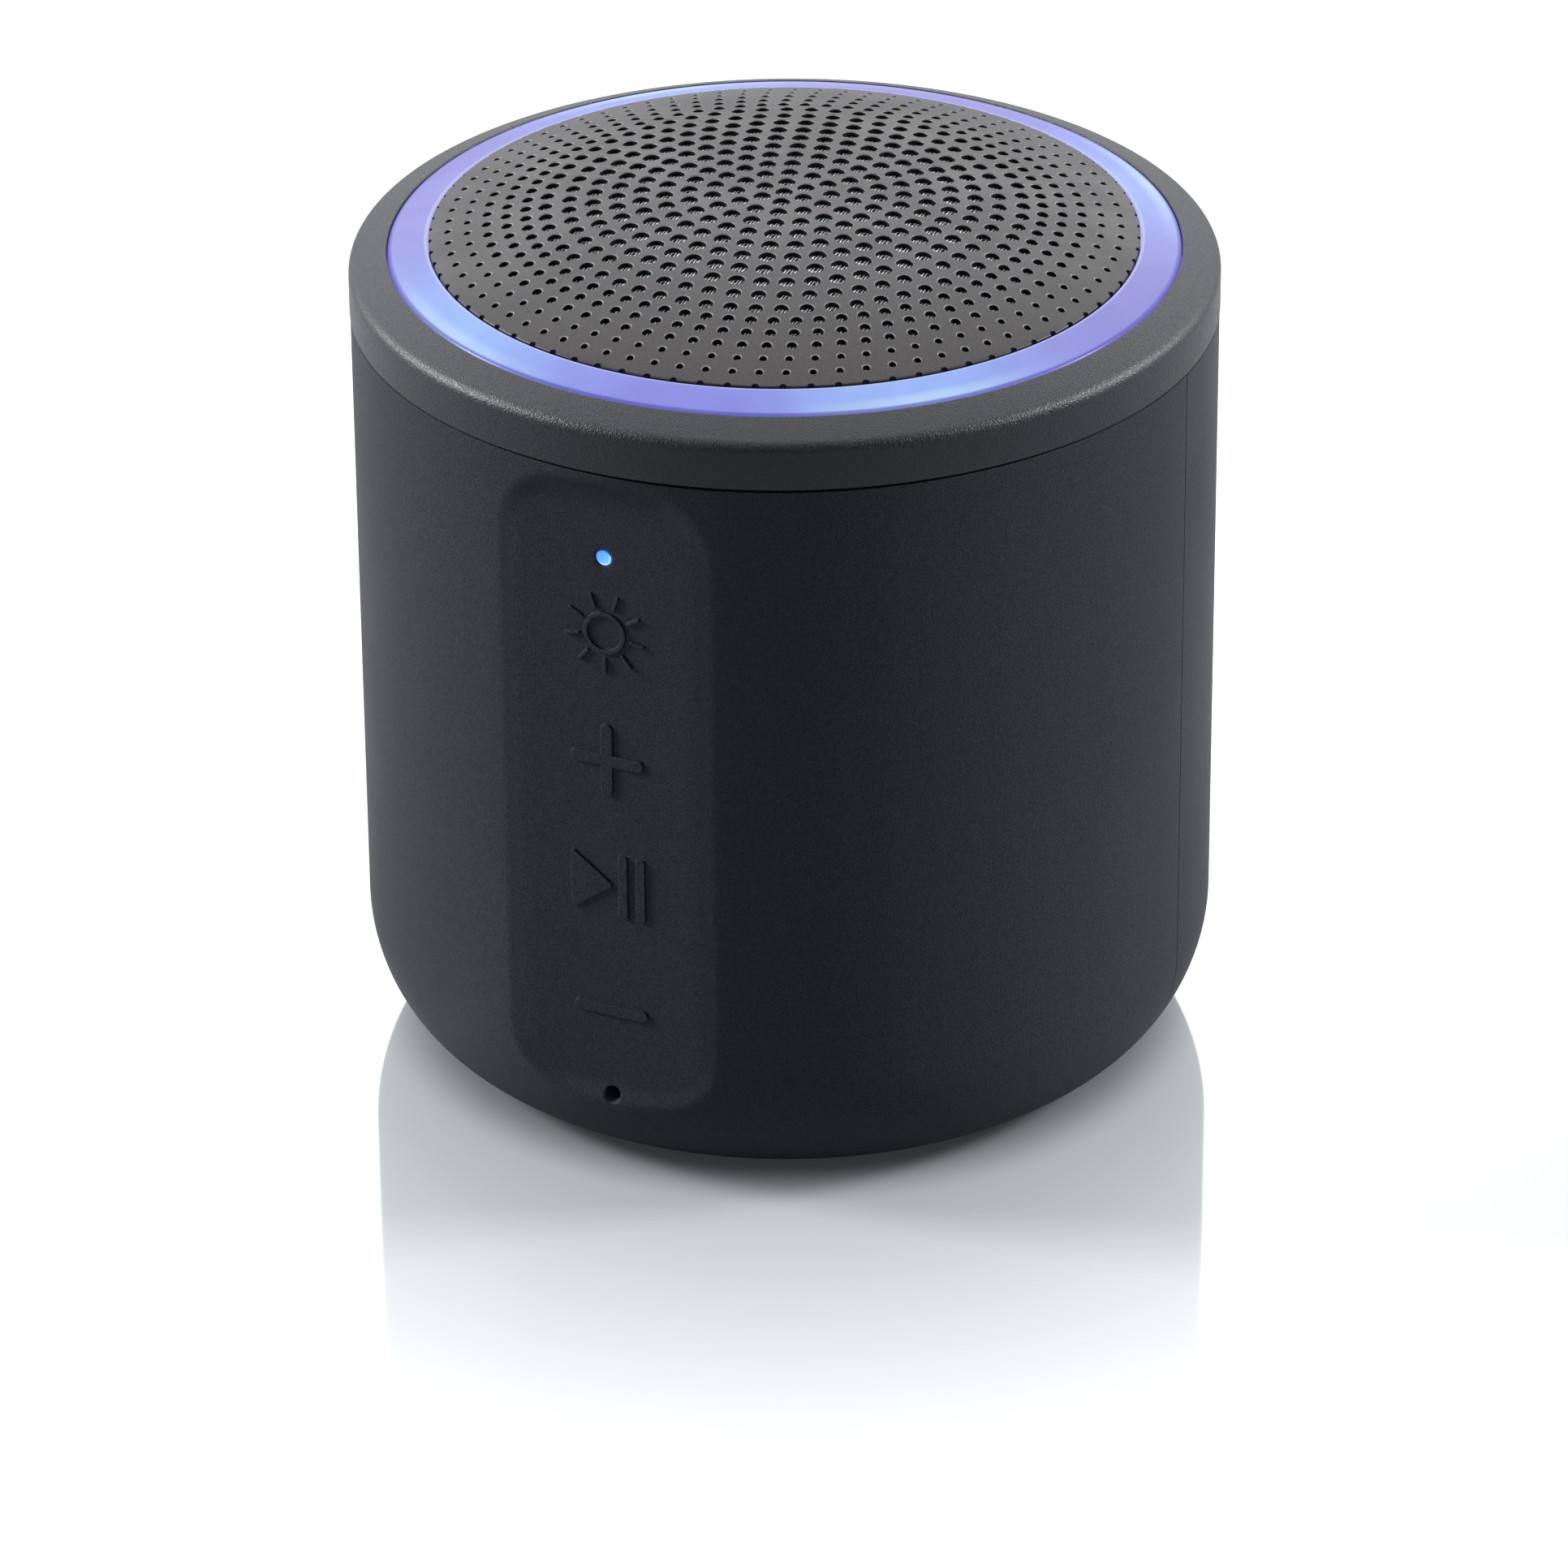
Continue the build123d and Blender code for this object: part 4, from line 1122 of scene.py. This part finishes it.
def floor():
    """A white sheet lit from below, glossy near the body, which it mirrors, with painted shade that darkens
    it towards the body's foot.
    """
    s = Shader("white_floor")
    x, y, _ = s.parts()
    away = s.length(x, y)
    cloud = s.noise(25)
    share = s.node("ShaderNodeMapRange")
    for key, number in zip(("From Min", "From Max"), GLOSS_ENDS):
        share.inputs[key].default_value = number
    s.put(share.inputs["Value"], away)
    far = share.outputs["Result"]
    matt = s.node("ShaderNodeBsdfDiffuse", Color=s.mix(far, FLOOR_NEAR_SHADE, FLOOR_FAR))
    gloss = s.node("ShaderNodeBsdfGlossy", Roughness=s.ramp(cloud, 0.3, 0.7, 0.05, 0.055))
    blend = s.node("ShaderNodeMixShader", Fac=s.math("MULTIPLY_ADD", far, -FLOOR_GLOSS, FLOOR_GLOSS))
    s.tree.links.new(matt.outputs[0], blend.inputs[1])
    s.tree.links.new(gloss.outputs[0], blend.inputs[2])
    strength = s.ramp(away, *LIT_STARTS, 0.1, 1.0)
    lit = s.node("ShaderNodeEmission", Color=FLOOR_LIT, Strength=strength)
    total = s.node("ShaderNodeAddShader")
    s.tree.links.new(blend.outputs[0], total.inputs[0])
    s.tree.links.new(lit.outputs[0], total.inputs[1])
    output = next(n for n in s.tree.nodes if n.type == "OUTPUT_MATERIAL")
    s.tree.links.new(total.outputs[0], output.inputs[0])
    half = 3000.0
    corners = [(-half, -half, 0), (half, -half, 0), (half, half, 0), (-half, half, 0)]
    sheet = mesh_piece("white_floor", corners, [(0, 1, 2, 3)])
    sheet.data.materials.append(s.material)


def area_light(name, at, size, power):
    """A square soft box that faces the middle of the body."""
    data = bpy.data.lights.new(name, "AREA")
    data.shape = "SQUARE"
    data.size = size
    data.energy = power
    lamp = bpy.data.objects.new(name, data)
    bpy.context.scene.collection.objects.link(lamp)
    lamp.location = at
    aim = Vector((0, 0, 0.05)) - Vector(at)
    lamp.rotation_mode = "QUATERNION"
    lamp.rotation_quaternion = aim.to_track_quat("-Z", "Y")


def surroundings():
    """A pale studio, brightest in a band behind the object and dim in front of it."""
    world = bpy.data.worlds.new("studio")
    bpy.context.scene.world = world
    world.use_nodes = True
    tree = world.node_tree
    tree.nodes.clear()
    output = tree.nodes.new("ShaderNodeOutputWorld")
    back = tree.nodes.new("ShaderNodeBackground")
    place = tree.nodes.new("ShaderNodeTexCoord")
    away = Matrix.Rotation(CAMERA_TURN, 3, "Z") @ Vector((0, 1, 0))
    shares = []
    upward = Vector((0, 0, 1))
    for direction, low, high in ((away, -0.5, 0.7), (upward, 0.08, 0.35), (upward, 0.85, 0.5)):
        dot = tree.nodes.new("ShaderNodeVectorMath")
        dot.operation = "DOT_PRODUCT"
        dot.inputs[1].default_value = direction
        share = tree.nodes.new("ShaderNodeMapRange")
        share.interpolation_type = "SMOOTHSTEP"
        share.inputs["From Min"].default_value = low
        share.inputs["From Max"].default_value = high
        tree.links.new(place.outputs["Generated"], dot.inputs[0])
        tree.links.new(dot.outputs["Value"], share.inputs["Value"])
        shares.append(share.outputs["Result"])
    band = tree.nodes.new("ShaderNodeMath")
    band.operation = "MULTIPLY"
    tree.links.new(shares[1], band.inputs[0])
    tree.links.new(shares[2], band.inputs[1])
    lift = tree.nodes.new("ShaderNodeMath")
    lift.operation = "MULTIPLY_ADD"
    tree.links.new(band.outputs[0], lift.inputs[0])
    lift.inputs[1].default_value = SKY_HIGH
    lift.inputs[2].default_value = SKY_LOW
    total = tree.nodes.new("ShaderNodeMath")
    total.operation = "MULTIPLY_ADD"
    tree.links.new(lift.outputs[0], total.inputs[0])
    tree.links.new(shares[0], total.inputs[1])
    total.inputs[2].default_value = SKY_FRONT
    tree.links.new(total.outputs[0], back.inputs["Strength"])
    back.inputs["Color"].default_value = (0.97, 0.985, 1.0, 1.0)
    tree.links.new(back.outputs[0], output.inputs[0])


def studio():
    surroundings()
    turn = Matrix.Rotation(CAMERA_TURN, 3, "Z")
    area_light("left_box", turn @ Vector((-0.94, 0.16, 0.52)), 0.26, 36.0)
    area_light("right_box", turn @ Vector((0.92, 0.08, 0.56)), 0.24, 28.5)
    area_light("top_box", turn @ Vector((0, 0.1, 1.0)), 0.5, 5.0)
    view = bpy.context.scene.view_settings
    view.view_transform = "Standard"
    view.look = "None"


# ---- assembly ----
camera()
floor()
studio()
place(front_skin(), "housing", "soft_touch", "front_shell")
place(rear_skin(), "housing", "soft_touch", "rear_shell")
place(bezel_ring(), "housing", "bezel_coat", "bezel")
place(glow_ring(), "housing", "light_guide", "light_guide_ring")
place(grille_sheet(), "housing", "grille_paint", "grille")
place(woven_screen(), "housing", "grille_cloth", "grille_cloth")
place(indicator(), "housing", "indicator_lens", "led_light_pipe")
place(foot_tread(), "housing", "foot_rubber", "foot_pad")
surround_ring()
spider_ring()
paint_nodes()
